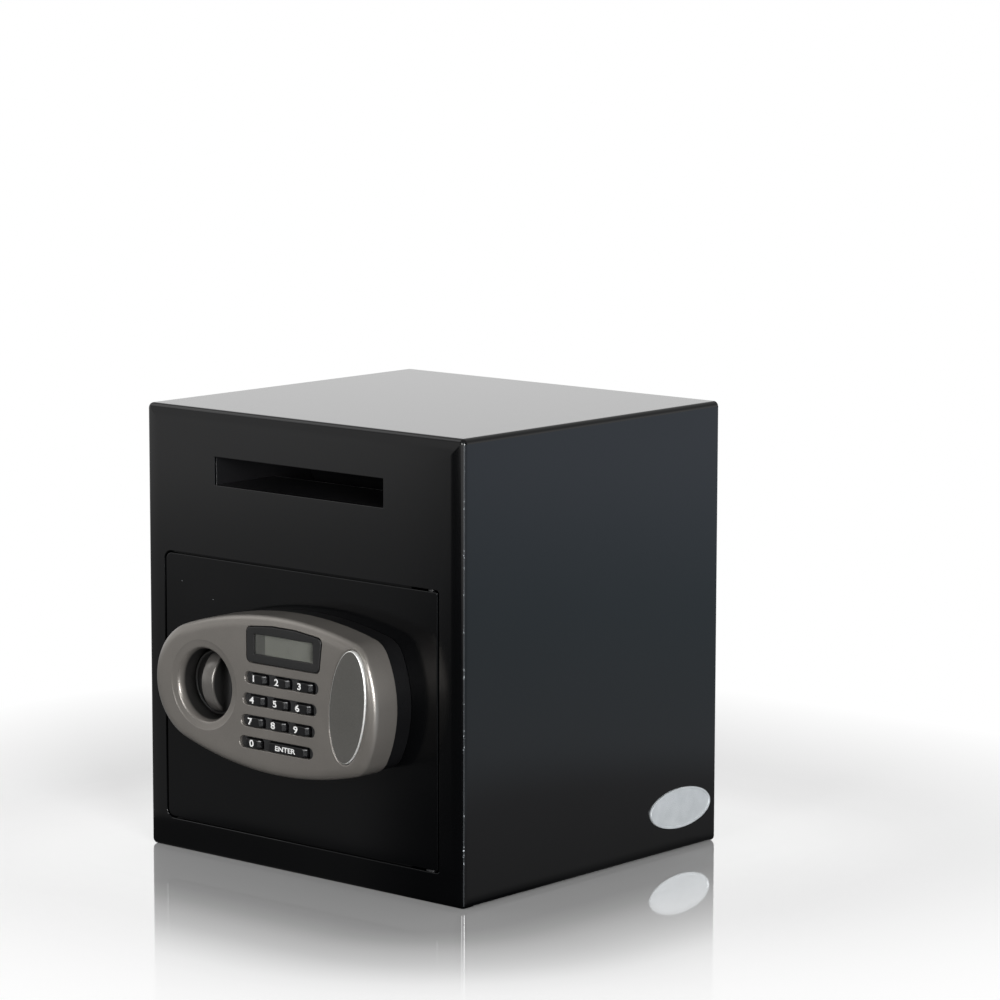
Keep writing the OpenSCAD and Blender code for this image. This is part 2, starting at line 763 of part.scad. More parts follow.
// Angle brackets with a bearing hole for each bolt
module bolt_guides() {
    color([0.5, 0.5, 0.52]) for (z = bolt_zs) difference() {
        union() {
            slab([guide_x, door_back, z - guide_half], [guide_x + guide_t, case_back - case_t - 1, z + guide_half]);
            slab([case_x0 + case_t, door_back, z - guide_half], [guide_x, door_back + guide_t, z + guide_half]);
        }
        rod_x(bolt_r + shaft_gap, guide_x - 1, guide_x + guide_t + 1, bolt_y, z);
        rod_x(bolt_r + strike_gap, case_x0, guide_x, bolt_y, z);
    }
}

// Shouldered studs that keep the bar level as it slides
module bar_studs() {
    color([0.6, 0.6, 0.62]) for (z = bolt_zs) {
        rod_y(stud_r + 2, door_back, bar_front - rest_gap, stud_x, z);
        rod_y(stud_r, bar_front - rest_gap, bar_back + rest_gap, stud_x, z);
        rod_y(stud_r + 2, bar_back + rest_gap, bar_back + rest_gap + 1.5, stud_x, z);
    }
}

module solenoid() {
    color([0.2, 0.2, 0.22]) difference() {
        slab([plunger_x - solenoid_w/2, door_back, solenoid_z0],
            [plunger_x + solenoid_w/2, bolt_y + solenoid_half_d, solenoid_z1]);
        rod_z(plunger_r + shaft_gap, plunger_z0 - plunger_travel - 1, solenoid_z1 + 1, plunger_x, bolt_y);
    }
}

module plunger_spring() {
    color([0.7, 0.7, 0.7]) difference() {
        rod_z(collar_r - 0.3, solenoid_z1, collar_z, plunger_x, bolt_y);
        rod_z(plunger_r + 0.5, solenoid_z1 - 1, collar_z + 1, plunger_x, bolt_y);
    }
}

module lock_cable() {
    bend_at = bolt_y - cable_bend;
    color([0.75, 0.1, 0.1]) {
        rod_y(cable_r, board_back, bend_at, cable_x, cable_z);
        translate([cable_x - cable_bend, bend_at, cable_z])
            rotate_extrude(angle = 90) translate([cable_bend, 0]) circle(r = cable_r);
        rod_x(cable_r, plunger_x + solenoid_w/2, cable_x - cable_bend, bolt_y, cable_z);
    }
}

module battery_box() {
    color([0.1, 0.1, 0.1]) {
        difference() {
            slab([box_x0, box_floor - box_t, box_z0], [box_x1, case_back, box_z1]);
            slab([box_x0 + box_t, box_floor, box_z0 + box_t], [box_x1 - box_t, case_back + 1, box_z1 - box_t]);
        }
        for (z = [box_z0, box_z1 - box_t]) slab([box_x0, door_back, z], [box_x1, box_floor - box_t, z + box_t]);
    }
}

module batteries() {
    nub_r = 2.6;
    nub_t = 1.4;
    first = box_x0 + box_t + cell_r + 0.5;
    color([0.75, 0.55, 0.2]) for (i = [0:cells - 1]) {
        up = i % 2;
        x = first + i*2*cell_r;
        z0 = box_z0 + box_t + 0.1 + (up == 1 ? 0 : nub_t);
        rod_z(cell_r - 0.05, z0, z0 + cell_l, x, cell_y);
        rod_z(nub_r, up == 1 ? z0 + cell_l : z0 - nub_t, up == 1 ? z0 + cell_l + nub_t : z0, x, cell_y);
    }
}

module reset_switch() {
    color([0.1, 0.1, 0.1]) difference() {
        slab([reset_x - reset_half, case_back - reset_d, reset_z - reset_half],
            [reset_x + reset_half, case_back, reset_z + reset_half]);
        rod_y(reset_flange + rest_gap, case_back - reset_d + 2, case_back + 1, reset_x, reset_z);
    }
}

// Screws through the door plate into the base's bosses
module lock_screws() {
    color([0.6, 0.6, 0.62]) for (p = screw_spots) {
        rod_y(boss_r, door_back, door_back + 2, p.x, p.y);
        rod_y(shank_r, base_floor - boss_d + 1, door_back, p.x, p.y);
    }
}

// Lock panel: the outline is one chain of tangent arcs
function arc(c, r, a0, a1, n) = [for (i = [0:n - 1]) let (a = a0 + (a1 - a0)*i/n) c + r*[cos(a), sin(a)]];

function upper(d) = concat(arc(side_c, side_r - d, 0, side_a, 5), arc(corner_c, corner_r - d, side_a, corner_a, 8),
    arc(crest_c, crest_r - d, corner_a, crest_a, 12), arc(tip_c, tip_r - d, crest_a, 180, 9),
    [tip_c - [tip_r - d, 0]]);

function panel(d) = let (u = upper(d)) concat(u, [for (i = [len(u) - 2:-1:1]) [u[i].x, -u[i].y]]);

// Flat outline of the panel inset by d, at its real height
module panel_outline(d) {
    translate([0, panel_z]) polygon(panel(d));
}

// Loft through insets of the outline: each level is [y, inset], from the back to the front
module panel_loft(levels) {
    n = len(panel(0));
    last = len(levels) - 1;
    points = [for (l = levels, p = panel(l[1])) [p.x, l[0], p.y + panel_z]];
    sides = [for (k = [0:last - 1], i = [0:n - 1]) let (j = (i + 1) % n)
        [k*n + i, (k + 1)*n + i, (k + 1)*n + j, k*n + j]];
    polyhedron(points, concat([[for (i = [0:n - 1]) i]], sides, [[for (i = [n - 1:-1:0]) last*n + i]]));
}

// Levels of a moulding whose front edge is rounded with radius r
function moulded(back, front, d, r, n) = concat([[back, d]],
    [for (i = [0:n]) let (a = 90*i/n) [front + r - r*sin(a), d + r - r*cos(a)]]);

module lock_base() {
    color([0.04, 0.04, 0.045]) difference() {
        union() {
            difference() {
                prism_y(seam_y, front_y) panel_outline(overhang);
                prism_y(seam_y - 1, base_floor) panel_outline(overhang + wall_t);
            }
            for (p = screw_spots) rod_y(boss_r, base_floor - boss_d, base_floor, p.x, p.y);
        }
        rod_y(bush_r + 2, base_floor - 1, front_y + 1, knob_x, panel_z);
        rod_y(barrel_r + seat_gap, base_floor - 1, front_y + 1, cover_x, cover_z);
        rod_y(cable_r + 1, base_floor - 1, front_y + 1, cable_x, cable_z);
        for (p = screw_spots) rod_y(shank_r + seat_gap, base_floor - boss_d - 1, front_y + 1, p.x, p.y);
    }
}

// Outline of the display's bezel: straight sides that flare to the right, under an arched top
module bezel_outline(g) {
    w = bezel_w/2;
    n = 12;
    top = display_z + bezel_h;
    offset(delta = g) offset(r = bezel_r) offset(delta = -bezel_r) polygon(concat(
        [[display_x - w, display_z], [display_x + w, display_z]],
        [for (i = [n:-1:0]) let (s = i/n)
            [display_x - w + s*(2*w + bezel_flare), top + bezel_arch*sin(180*s) - bezel_arch*s]]));
}

module cover_outline(g) {
    translate([cover_x, cover_z]) polygon(oval(cover_w/2 + g, cover_l/2 + g, -cover_lean, 56));
}

function row_x(i) = rows_x - i*row_step;
function row_z(i) = rows_z - i*row_pitch;

module lock_housing() {
    color([0.42, 0.41, 0.39]) difference() {
        union() {
            difference() {
                panel_loft(moulded(seam_y, face_y, 0, front_r, 7));
                panel_loft(moulded(seam_y + 1, face_in, wall_t, front_r - wall_t, 3));
            }
            rod_y(cup_r + wall_t, face_in, seam_y, knob_x, panel_z);
            rod_y(cup_r + dish_w + 1, face_in, face_in + dish_d, knob_x, panel_z);
            prism_y(face_in, pocket_floor + wall_t) cover_outline(cover_gap + wall_t);
        }
        rod_y(cup_r, face_y - 1, cup_floor, knob_x, panel_z);
        rod_y(spindle_r + 1, cup_floor - 1, seam_y + 1, knob_x, panel_z);
        translate([knob_x, face_y, panel_z]) rotate([-90, 0, 0])
            cylinder(r1 = cup_r + dish_w, r2 = cup_r, h = dish_d, $fn = 96);
        prism_y(face_y - 1, face_in + 1) bezel_outline(seat_gap);
        prism_y(face_in, bezel_back + 3) bezel_outline(bezel_rim + seat_gap);
        for (i = [0:rows - 1]) round_slot_x(row_x(i) - row_w/2 + row_h/2, row_x(i) + row_w/2 - row_h/2,
            row_z(i), row_h/2, face_y - 1, face_in + 1);
        prism_y(face_y - 1, pocket_floor) cover_outline(cover_gap);
        rod_y(barrel_r + seat_gap, face_y, pocket_floor + wall_t + 1, cover_x, cover_z);
    }
}

module display_bezel() {
    half_w = window_w/2;
    half_h = window_h/2;
    color([0.06, 0.06, 0.065]) difference() {
        union() {
            prism_y(bezel_front, face_in) bezel_outline(0);
            prism_y(face_in, bezel_back) bezel_outline(bezel_rim);
        }
        slab([display_x - half_w, bezel_front - 1, window_z - half_h],
            [display_x + half_w, bezel_back + 1, window_z + half_h]);
        slab([display_x - half_w - window_rim, window_front, window_z - half_h - window_rim],
            [display_x + half_w + window_rim, bezel_back + 1, window_z + half_h + window_rim]);
    }
}

module display_window() {
    w = window_w/2 + window_rim - seat_gap;
    h = window_h/2 + window_rim - seat_gap;
    color([0.7, 0.75, 0.72, 0.35]) slab([display_x - w, window_front, window_z - h],
        [display_x + w, window_front + window_t, window_z + h]);
}

module display_module() {
    w = window_w/2 + 1;
    h = window_h/2 + 1;
    color([0.36, 0.38, 0.34]) slab([display_x - w, window_front + window_t, window_z - h],
        [display_x + w, board_front, window_z + h]);
}

// Outline of one key, grown by g
module key_outline(w, g) {
    r = 2 + g;
    sheet_outline(-w/2 - g, -key_h/2 - g, w/2 + g, key_h/2 + g, r, r);
}

// Middle and width of each key: the last row has the zero and the wide start key
function key_spot(k) = k == 10 ? [row_x(3) + key_pitch/2, row_z(3), key_pitch + key_w]
    : k == 0 ? [row_x(3) - key_pitch, row_z(3), key_w]
    : let (i = floor((k - 1)/3), j = (k - 1) % 3) [row_x(i) + (j - 1)*key_pitch, row_z(i), key_w];

module key_frame() {
    color([0.03, 0.03, 0.03]) {
        difference() {
            slab([keys_x0, face_in, keys_z0], [keys_x1, key_frame_back, keys_z1]);
            for (k = [0:10]) let (s = key_spot(k)) translate([s.x, 0, s.y])
                prism_y(face_in - 1, key_frame_back + 1) key_outline(s.z, key_gap);
        }
        for (p = pegs) rod_y(peg_r, key_frame_back, board_front, p.x, p.y);
    }
}

module key_mat() {
    color([0.12, 0.12, 0.12]) difference() {
        slab([keys_x0, mat_front, keys_z0], [keys_x1, board_front, keys_z1]);
        for (p = pegs) rod_y(peg_r + seat_gap, mat_front - 1, board_front + 1, p.x, p.y);
    }
}

module circuit_board() {
    color([0.05, 0.25, 0.12]) slab([keys_x0, board_front, keys_z0],
        [keys_x1, board_back, window_z + window_h/2 + 1]);
}

// Key cap with a chamfered top, and the flange that keeps it behind the key frame
module key_cap(k) {
    s = key_spot(k);
    ease = 0.6;
    color([0.03, 0.03, 0.032]) translate([s.x, 0, s.y]) {
        prism_y(key_front + ease, flange_front) key_outline(s.z, 0);
        hull() {
            prism_y(key_front + ease, key_front + 2*ease) key_outline(s.z, 0, $fn = 24);
            prism_y(key_front, key_front + ease) key_outline(s.z, -ease, $fn = 24);
        }
        prism_y(flange_front, flange_back) key_outline(s.z, flange_rim);
    }
}

module spindle_bush() {
    color([0.75, 0.6, 0.3]) difference() {
        union() {
            rod_y(bush_r, front_y, crank_front - rest_gap, knob_x, panel_z);
            rod_y(bush_r + 1.5, front_y - 1.5, front_y, knob_x, panel_z);
        }
        rod_y(spindle_r + shaft_gap, front_y - 3, crank_front, knob_x, panel_z);
    }
}

module lock_barrel() {
    color([0.75, 0.75, 0.76]) difference() {
        union() {
            rod_y(barrel_flange, barrel_front, pocket_floor, cover_x, cover_z);
            rod_y(barrel_r, pocket_floor, barrel_back, cover_x, cover_z);
        }
        rod_y(plug_r + shaft_gap, barrel_front - 1, barrel_back + 1, cover_x, cover_z);
    }
}

module barrel_nut() {
    color([0.6, 0.6, 0.62]) difference() {
        translate([cover_x, door_back, cover_z]) rotate([-90, 0, 0]) cylinder(r = barrel_r + 5, h = nut_t, $fn = 6);
        rod_y(barrel_r + seat_gap, door_back - 1, door_back + nut_t + 1, cover_x, cover_z);
    }
}

// Moving pieces

// Finger hollow on the right of the grip: a round pocket cut off by the grip's side, both with
// round bottom edges
module finger_hollow() {
    in_r = hollow_reach - hollow_r;
    translate([knob_x, 0, panel_z]) intersection() {
        union() {
            rod_y(hollow_reach, face_y, hollow_y, 0, 0);
            rod_y(in_r, face_y, hollow_floor, 0, 0);
            translate([0, hollow_y, 0]) rotate([90, 0, 0]) rotate_extrude() translate([in_r, 0]) circle(r = hollow_r);
        }
        union() {
            translate([grip_half, face_y, -knob_r]) cube([knob_r, hollow_y - face_y, 2*knob_r]);
            translate([grip_half + hollow_r, face_y, -knob_r]) cube([knob_r, hollow_floor - face_y, 2*knob_r]);
            translate([grip_half + hollow_r, hollow_y, 0]) cylinder(r = hollow_r, h = 2*knob_r, center = true);
        }
    }
}

module knob() {
    color([0.5, 0.49, 0.47]) difference() {
        union() {
            rod_y(knob_r, rim_y, knob_back, knob_x, panel_z);
            intersection() {
                translate([knob_x, rim_y - crown_h + crown_r, panel_z]) sphere(r = crown_r, $fn = 96);
                rod_y(knob_r, rim_y - crown_h - 1, rim_y + 1, knob_x, panel_z);
            }
        }
        finger_hollow();
        translate([2*knob_x, 0, 0]) mirror([1, 0, 0]) finger_hollow();
        rod_y(spindle_r + shaft_gap, spindle_front, knob_back + 1, knob_x, panel_z);
    }
}

module knob_spindle() {
    color([0.6, 0.6, 0.62]) rod_y(spindle_r, spindle_front, spindle_back, knob_x, panel_z);
}

// Crank with the pin that drives the bar
module knob_crank() {
    px = knob_x + crank_l*sin(crank_half);
    pz = panel_z + crank_l*cos(crank_half);
    arm = stud_r + 2;
    color([0.55, 0.55, 0.57]) difference() {
        union() {
            rod_y(spindle_r + 4, crank_front, crank_back, knob_x, panel_z);
            rod_y(arm, crank_front, crank_back, px, pz);
            translate([knob_x, crank_front, panel_z]) rotate([0, crank_half, 0])
                translate([-arm, 0, 0]) cube([2*arm, crank_t, crank_l]);
            rod_y(stud_r, crank_back, bar_back + 1, px, pz);
        }
        rod_y(spindle_r, crank_front - 1, crank_back + 1, knob_x, panel_z);
    }
}

module bolt_bar() {
    px = knob_x + bolt_travel/2;
    color([0.55, 0.55, 0.57]) difference() {
        union() {
            slab([bar_x0, bar_front, bolt_zs[0] - bar_end], [bar_x1, bar_back, bolt_zs[1] + bar_end]);
            for (z = bolt_zs) slab([bar_x1, bar_front, z - tab_half], [tab_x1, bar_back, z + tab_half]);
            slab([bar_x1, bar_front, arm_z0], [arm_x1, bar_back, arm_z1]);
        }
        for (z = bolt_zs) round_slot_x(stud_x, stud_x + bolt_travel, z, slot_r, bar_front - 1, bar_back + 1);
        round_slot_z(px, panel_z + crank_l*cos(crank_half) - slot_gap, panel_z + crank_l + slot_gap,
            slot_r, bar_front - 1, bar_back + 1);
    }
}

module locking_bolts() {
    color([0.68, 0.68, 0.7]) for (z = bolt_zs) difference() {
        rod_x(bolt_r, bolt_tip, bolt_tip + bolt_len, bolt_y, z);
        slab([bar_x0, bar_front, z - bolt_r - 1], [bolt_tip + bolt_len + 1, bar_back, z + bolt_r + 1]);
    }
}

module solenoid_plunger() {
    color([0.7, 0.7, 0.72]) {
        rod_z(plunger_r, plunger_z0, plunger_top, plunger_x, bolt_y);
        rod_z(collar_r, collar_z, collar_z + collar_t, plunger_x, bolt_y);
    }
}

module override_cover() {
    back = cover_front + cover_d;
    ease = 0.7;
    color([0.36, 0.35, 0.33]) difference() {
        union() {
            prism_y(cover_front + ease, back) cover_outline(0);
            prism_y(cover_front, cover_front + ease) cover_outline(-ease);
        }
        prism_y(cover_front + cover_t, back + 1) cover_outline(-cover_t);
    }
}

module key_plug() {
    plug_front = barrel_front - 0.4;
    keyway_w = 1.6;
    keyway_h = 7;
    keyway_d = 5;
    color([0.8, 0.78, 0.7]) difference() {
        rod_y(plug_r, plug_front, cam_back, cover_x, cover_z);
        slab([cover_x - keyway_w/2, plug_front - 1, cover_z - keyway_h/2],
            [cover_x + keyway_w/2, plug_front + keyway_d, cover_z + keyway_h/2]);
    }
}

module plug_cam() {
    color([0.6, 0.6, 0.62]) difference() {
        union() {
            rod_y(cam_half + 1, cam_front, cam_back, cover_x, cover_z);
            slab([cover_x - cam_half + 2, cam_front, cover_z], [cover_x + cam_half - 2, cam_back, cover_z + cam_l]);
        }
        rod_y(plug_r, cam_front - 1, cam_back + 1, cover_x, cover_z);
    }
}

module battery_lid() {
    y0 = cover_back + lid_gap;
    grip = 1;
    color([0.08, 0.08, 0.085]) {
        slab([box_x0 + box_t - lid_rim, y0, box_z0 + box_t - lid_rim],
            [box_x1 - box_t + lid_rim, y0 + lid_t, box_z1 - box_t + lid_rim]);
        for (i = [0:3]) slab([box_x0 + lid_rim + 3*i, y0 + lid_t, box_z0 + box_h/4],
            [box_x0 + lid_rim + 3*i + grip, y0 + lid_t + grip, box_z1 - box_h/4]);
    }
}

module reset_button() {
    tip = case_back - reset_d + 2 + reset_travel + rest_gap;
    color([0.7, 0.08, 0.08]) {
        rod_y(reset_r, tip, reset_back, reset_x, reset_z);
        rod_y(reset_flange, case_back - rest_gap - 1.5, case_back - rest_gap, reset_x, reset_z);
    }
}

body_wrap();
front_sheet();
back_plate();
door_frame();
strike_jamb();
deposit_chute();
fishing_guard();
floor_felt();
side_badge();
hinge_washer();
door_plate();
lock_case();
case_cover();
cover_screws();
hinge_pins();
hinge_blocks();
bolt_guides();
bar_studs();
solenoid();
plunger_spring();
lock_cable();
battery_box();
batteries();
reset_switch();
lock_screws();
lock_base();
lock_housing();
display_bezel();
display_window();
display_module();
key_frame();
key_mat();
circuit_board();
spindle_bush();
lock_barrel();
barrel_nut();
knob();
knob_spindle();
knob_crank();
bolt_bar();
locking_bolts();
solenoid_plunger();
override_cover();
key_plug();
plug_cam();
battery_lid();
reset_button();
key_cap(1);  // key_1
key_cap(2);  // key_2
key_cap(3);  // key_3
key_cap(4);  // key_4
key_cap(5);  // key_5
key_cap(6);  // key_6
key_cap(7);  // key_7
key_cap(8);  // key_8
key_cap(9);  // key_9
key_cap(0);  // key_0
key_cap(10);  // key_start
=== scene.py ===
"""Looks of the deposit safe: a black folded steel cabinet whose door carries a silver lock panel."""
import json
import math

import bmesh
import bpy
import numpy as np
from mathutils import Matrix, Vector
from mathutils.geometry import delaunay_2d_cdt


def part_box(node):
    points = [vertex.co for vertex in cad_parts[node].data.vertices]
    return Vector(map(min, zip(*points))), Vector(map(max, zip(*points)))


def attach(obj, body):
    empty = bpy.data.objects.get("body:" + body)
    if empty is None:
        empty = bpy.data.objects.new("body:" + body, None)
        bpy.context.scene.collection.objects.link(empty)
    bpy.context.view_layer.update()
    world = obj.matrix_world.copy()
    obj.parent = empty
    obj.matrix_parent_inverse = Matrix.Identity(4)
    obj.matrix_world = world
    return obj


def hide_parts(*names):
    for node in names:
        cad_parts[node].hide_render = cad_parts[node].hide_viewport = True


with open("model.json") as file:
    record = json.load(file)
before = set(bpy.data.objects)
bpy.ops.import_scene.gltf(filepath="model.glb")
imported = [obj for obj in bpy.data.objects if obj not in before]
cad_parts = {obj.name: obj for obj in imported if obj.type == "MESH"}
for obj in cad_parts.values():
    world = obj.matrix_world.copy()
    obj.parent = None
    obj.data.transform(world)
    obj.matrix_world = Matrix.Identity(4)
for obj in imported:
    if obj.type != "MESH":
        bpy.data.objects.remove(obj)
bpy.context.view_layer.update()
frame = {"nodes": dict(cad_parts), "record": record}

# Camera. The photograph looks down on the front and the right side from a little above the
# lid, through a long lens. The three angles are its turn, its dip and its small roll.
lens_from = Vector((1.92560, -2.15144, 0.68289))
turned, tipped, rolled = math.radians(40.879), math.radians(8.538), math.radians(0.116)
ahead = Vector((-math.sin(turned) * math.cos(tipped), math.cos(turned) * math.cos(tipped),
                -math.sin(tipped)))
level_right = Vector((math.cos(turned), math.sin(turned), 0))
level_up = level_right.cross(ahead)
right = math.cos(rolled) * level_right + math.sin(rolled) * level_up
upward = math.cos(rolled) * level_up - math.sin(rolled) * level_right
lens = bpy.data.cameras.new("camera")
lens.sensor_width = 36
lens.lens = 147.44
lens.clip_end = 100
camera = bpy.data.objects.new("camera", lens)
camera.matrix_world = Matrix.Translation(lens_from) @ Matrix((right, upward, -ahead)).transposed().to_4x4()
bpy.context.collection.objects.link(camera)
bpy.context.scene.camera = camera
bpy.context.scene.view_settings.view_transform = "Standard"

# Studio. A bright sweep stands behind the safe, and the room on the camera's side is dim. Three
# soft lamps light it, the right one most. The white floor is polished near the safe.


def nodes_of(tree):
    """Empties a node tree and returns a call that adds a node to it, with the node's settings
    and its inputs, each of them a value or the socket that feeds it."""
    tree.nodes.clear()

    def add(kind, inputs=(), **settings):
        node = tree.nodes.new(kind)
        for key, value in settings.items():
            setattr(node, key, value)
        for key, value in dict(inputs).items():
            if isinstance(value, bpy.types.NodeSocket):
                tree.links.new(value, node.inputs[key])
            else:
                node.inputs[key].default_value = value
        return node

    return add


def ramp(add, value, stops):
    """Colour ramp: stops are pairs of place and grey level or colour."""
    node = add("ShaderNodeValToRGB", {"Fac": value})
    band = node.color_ramp
    while len(band.elements) < len(stops):
        band.elements.new(0.5)
    for element, (place, level) in zip(band.elements, stops):
        element.position = place
        element.color = (level, level, level, 1) if isinstance(level, (int, float)) else (*level, 1)
    return node.outputs["Color"]


def reshape(add, value, low, high, to_low=0.0, to_high=1.0):
    """Straight-line change of a value's range, held at both ends."""
    node = add("ShaderNodeMapRange", {"Value": value, "From Min": low, "From Max": high,
                                      "To Min": to_low, "To Max": to_high})
    return node.outputs["Result"]


def maths(add, operation, a, b=0.0):
    return add("ShaderNodeMath", {0: a, 1: b}, operation=operation).outputs[0]


def vectors(add, operation, a, b=(0, 0, 0)):
    return add("ShaderNodeVectorMath", {0: a, 1: b}, operation=operation).outputs[0]


def length_of(add, a):
    return add("ShaderNodeVectorMath", {0: a}, operation="LENGTH").outputs["Value"]


def along(add, a, way):
    return add("ShaderNodeVectorMath", {0: a, 1: way}, operation="DOT_PRODUCT").outputs["Value"]


def part_of(add, a, axis):
    return add("ShaderNodeSeparateXYZ", {0: a}).outputs[axis]


def blend_colours(add, amount, a, b, way="MIX"):
    node = add("ShaderNodeMix", {"Factor": amount, 6: a, 7: b}, data_type="RGBA", blend_type=way)
    return node.outputs[2]


world = bpy.data.worlds.new("studio")
bpy.context.scene.world = world
world.use_nodes = True
add = nodes_of(world.node_tree)
look = add("ShaderNodeTexCoord").outputs["Generated"]
behind = along(add, look, (-math.sin(turned), math.cos(turned), 0))
height = part_of(add, look, "Z")
room = ramp(add, reshape(add, behind, -1, 1),
            [(0.0, 0.05), (0.32, 0.12), (0.39, 0.45), (0.46, 0.55), (0.56, 0.75), (0.80, 1.0)])
above = ramp(add, height, [(0.0, 0.88), (0.16, 0.88), (0.45, 0.35), (0.8, 0.35)])
overhead = ramp(add, height, [(0.0, 0.0), (0.30, 0.08), (0.6, 0.22)])
glow = blend_colours(add, 1.0, blend_colours(add, 1.0, room, above, "MULTIPLY"), overhead, "LIGHTEN")
path = add("ShaderNodeLightPath")
seen = add("ShaderNodeBackground", {"Color": (1, 1, 1, 1), "Strength": 1.0})
lit = add("ShaderNodeBackground", {"Color": glow, "Strength": 1.25})
both = add("ShaderNodeMixShader", {0: path.outputs["Is Camera Ray"], 1: lit.outputs[0], 2: seen.outputs[0]})
add("ShaderNodeOutputWorld", {"Surface": both.outputs[0]})


def lamp(name, at, towards, size, power):
    """Rectangular soft lamp that faces a point."""
    data = bpy.data.lights.new(name, "AREA")
    data.shape = "RECTANGLE"
    data.size, data.size_y = size
    data.energy = power
    obj = bpy.data.objects.new(name, data)
    aim = (Vector(towards) - Vector(at)).to_track_quat("-Z", "Y")
    obj.matrix_world = Matrix.Translation(at) @ aim.to_matrix().to_4x4()
    bpy.context.collection.objects.link(obj)


lamp("lamp_right", (2.4, -1.4, 0.66), (0, 0, 0.15), (1.0, 1.1), 80)
lamp("lamp_front", (0.2, -2.75, 0.9), (0, 0, 0.15), (1.2, 0.8), 34)
lamp("lamp_left", (-1.8, -0.9, 1.8), (0, 0, 0.1), (1.4, 1.4), 6)


def mesh_piece(name, points, faces, material, smooth_to=35, tidy=True):
    """Object from an array of points in metres and a list of faces. Edges sharper than the given
    angle stay sharp, and tidy merges doubles and turns the normals outwards."""
    mesh = bpy.data.meshes.new(name)
    mesh.from_pydata(np.asarray(points, dtype=float).tolist(), [], [tuple(f) for f in faces])
    work = bmesh.new()
    work.from_mesh(mesh)
    if tidy:
        bmesh.ops.remove_doubles(work, verts=work.verts, dist=2e-6)
        bmesh.ops.dissolve_degenerate(work, edges=work.edges, dist=1e-6)
        bmesh.ops.delete(work, geom=[v for v in work.verts if not v.link_faces], context="VERTS")
        bmesh.ops.recalc_face_normals(work, faces=work.faces)
    work.to_mesh(mesh)
    work.free()
    mesh.shade_smooth()
    mesh.set_sharp_from_angle(angle=math.radians(smooth_to))
    mesh.materials.append(material)
    piece = bpy.data.objects.new(name, mesh)
    bpy.context.collection.objects.link(piece)
    if tidy:
        even = piece.modifiers.new("even_normals", "WEIGHTED_NORMAL")
        even.keep_sharp = True
    return piece


def new_material(name):
    """New material, the call that adds its nodes, and the place that its patterns follow."""
    material = bpy.data.materials.new(name)
    material.use_nodes = True
    add = nodes_of(material.node_tree)
    return material, add, add("ShaderNodeTexCoord").outputs["Object"]


def show(add, shader):
    add("ShaderNodeOutputMaterial", {"Surface": shader.outputs[0]})


floor_paint, add, spot = new_material("white_floor")


def outside(half_width, half_depth):
    """How far a place lies outside a rectangle round the floor's middle: max(|x| - w, 0) along x,
    and likewise along y."""
    return vectors(add, "MAXIMUM", vectors(add, "SUBTRACT", vectors(add, "ABSOLUTE", spot),
                                           (half_width, half_depth, 0)))


base_w, base_d, polish_w = 0.15, 0.137, 0.12
from_base = outside(base_w, base_d)
reach = length_of(add, from_base)
# the polish fades with distance, a little sooner beside the safe than in front of it
polish = ramp(add, length_of(add, outside(polish_w, base_d)),
              [(0.0, 0.72), (0.076, 0.70), (0.10, 0.635), (0.128, 0.50), (0.153, 0.41), (0.175, 0.31),
               (0.19, 0.24), (0.21, 0.15), (0.235, 0.10), (0.30, 0.05), (0.42, 0.0)])
white = add("ShaderNodeBsdfDiffuse", {"Color": (0.86, 0.86, 0.86, 1)})
lift = add("ShaderNodeEmission", {"Color": (1, 1, 1, 1), "Strength": 0.22})
chalk = add("ShaderNodeAddShader", {0: white.outputs[0], 1: lift.outputs[0]})
mirror = add("ShaderNodeBsdfGlossy", {"Color": (1, 1, 1, 1), "Roughness": 0.04})
near = add("ShaderNodeMixShader", {0: polish, 1: chalk.outputs[0], 2: mirror.outputs[0]})
# to the camera the floor runs into the white of the backdrop
plain = add("ShaderNodeEmission", {"Color": (1, 1, 1, 1), "Strength": 1.0})
to_lens = add("ShaderNodeMixShader", {0: reshape(add, reach, 0.15, 0.45), 1: near.outputs[0],
                                      2: plain.outputs[0]})
# to all rays but the camera's the floor is a painted glow, which the safe's front mirrors as a painted
# reflection: dark at the safe's foot and brighter with distance
lit_reach = 2.2
span = reshape(add, reach, 0, lit_reach)
front_glow = ramp(add, span, [(0.0, 0.06), (0.036, 0.06), (0.043, 0.23), (0.36, 0.26), (0.62, 0.335),
                              (0.75, 0.46), (0.9, 0.66)])
# the painted glow is darker right of the line from the safe to the camera, most so close to the safe, and
# the measure across that line is taken along the camera's right as the front mirrors it
mirrored_right = (0.756, -0.654, 0)
across = along(add, spot, mirrored_right)
broad = ramp(add, across, [(0.0, 0.0), (0.125, 0.0), (0.149, 0.62), (0.160, 0.84), (0.170, 0.97),
                           (0.178, 1.0)])
depth = ramp(add, span, [(0.0, 0.92), (0.1, 0.92), (0.37, 0.65), (0.49, 0.5), (0.54, 0.2), (0.9, 0.15)])
# past the safe's edge the painted glow is dark, and far right, where the key ends look, it is bright
past_edge, far_right = (0.186, 0.215, 1.0, 0.05), (0.8, 0.95, 0.05, 2.2)
sideways = maths(add, "MAXIMUM", reshape(add, across, *past_edge), reshape(add, across, *far_right))
dim = maths(add, "MULTIPLY", maths(add, "SUBTRACT", 1.0, maths(add, "MULTIPLY", broad, depth)), sideways)
front_glow = blend_colours(add, 1.0, front_glow, dim, "MULTIPLY")
side_glow = ramp(add, span, [(0.0, (0.21, 0.21, 0.21)), (0.09, (0.27, 0.27, 0.28)),
                             (0.15, (0.43, 0.47, 0.51)), (0.45, (0.42, 0.51, 0.58)),
                             (0.9, (0.65, 0.73, 0.85))])
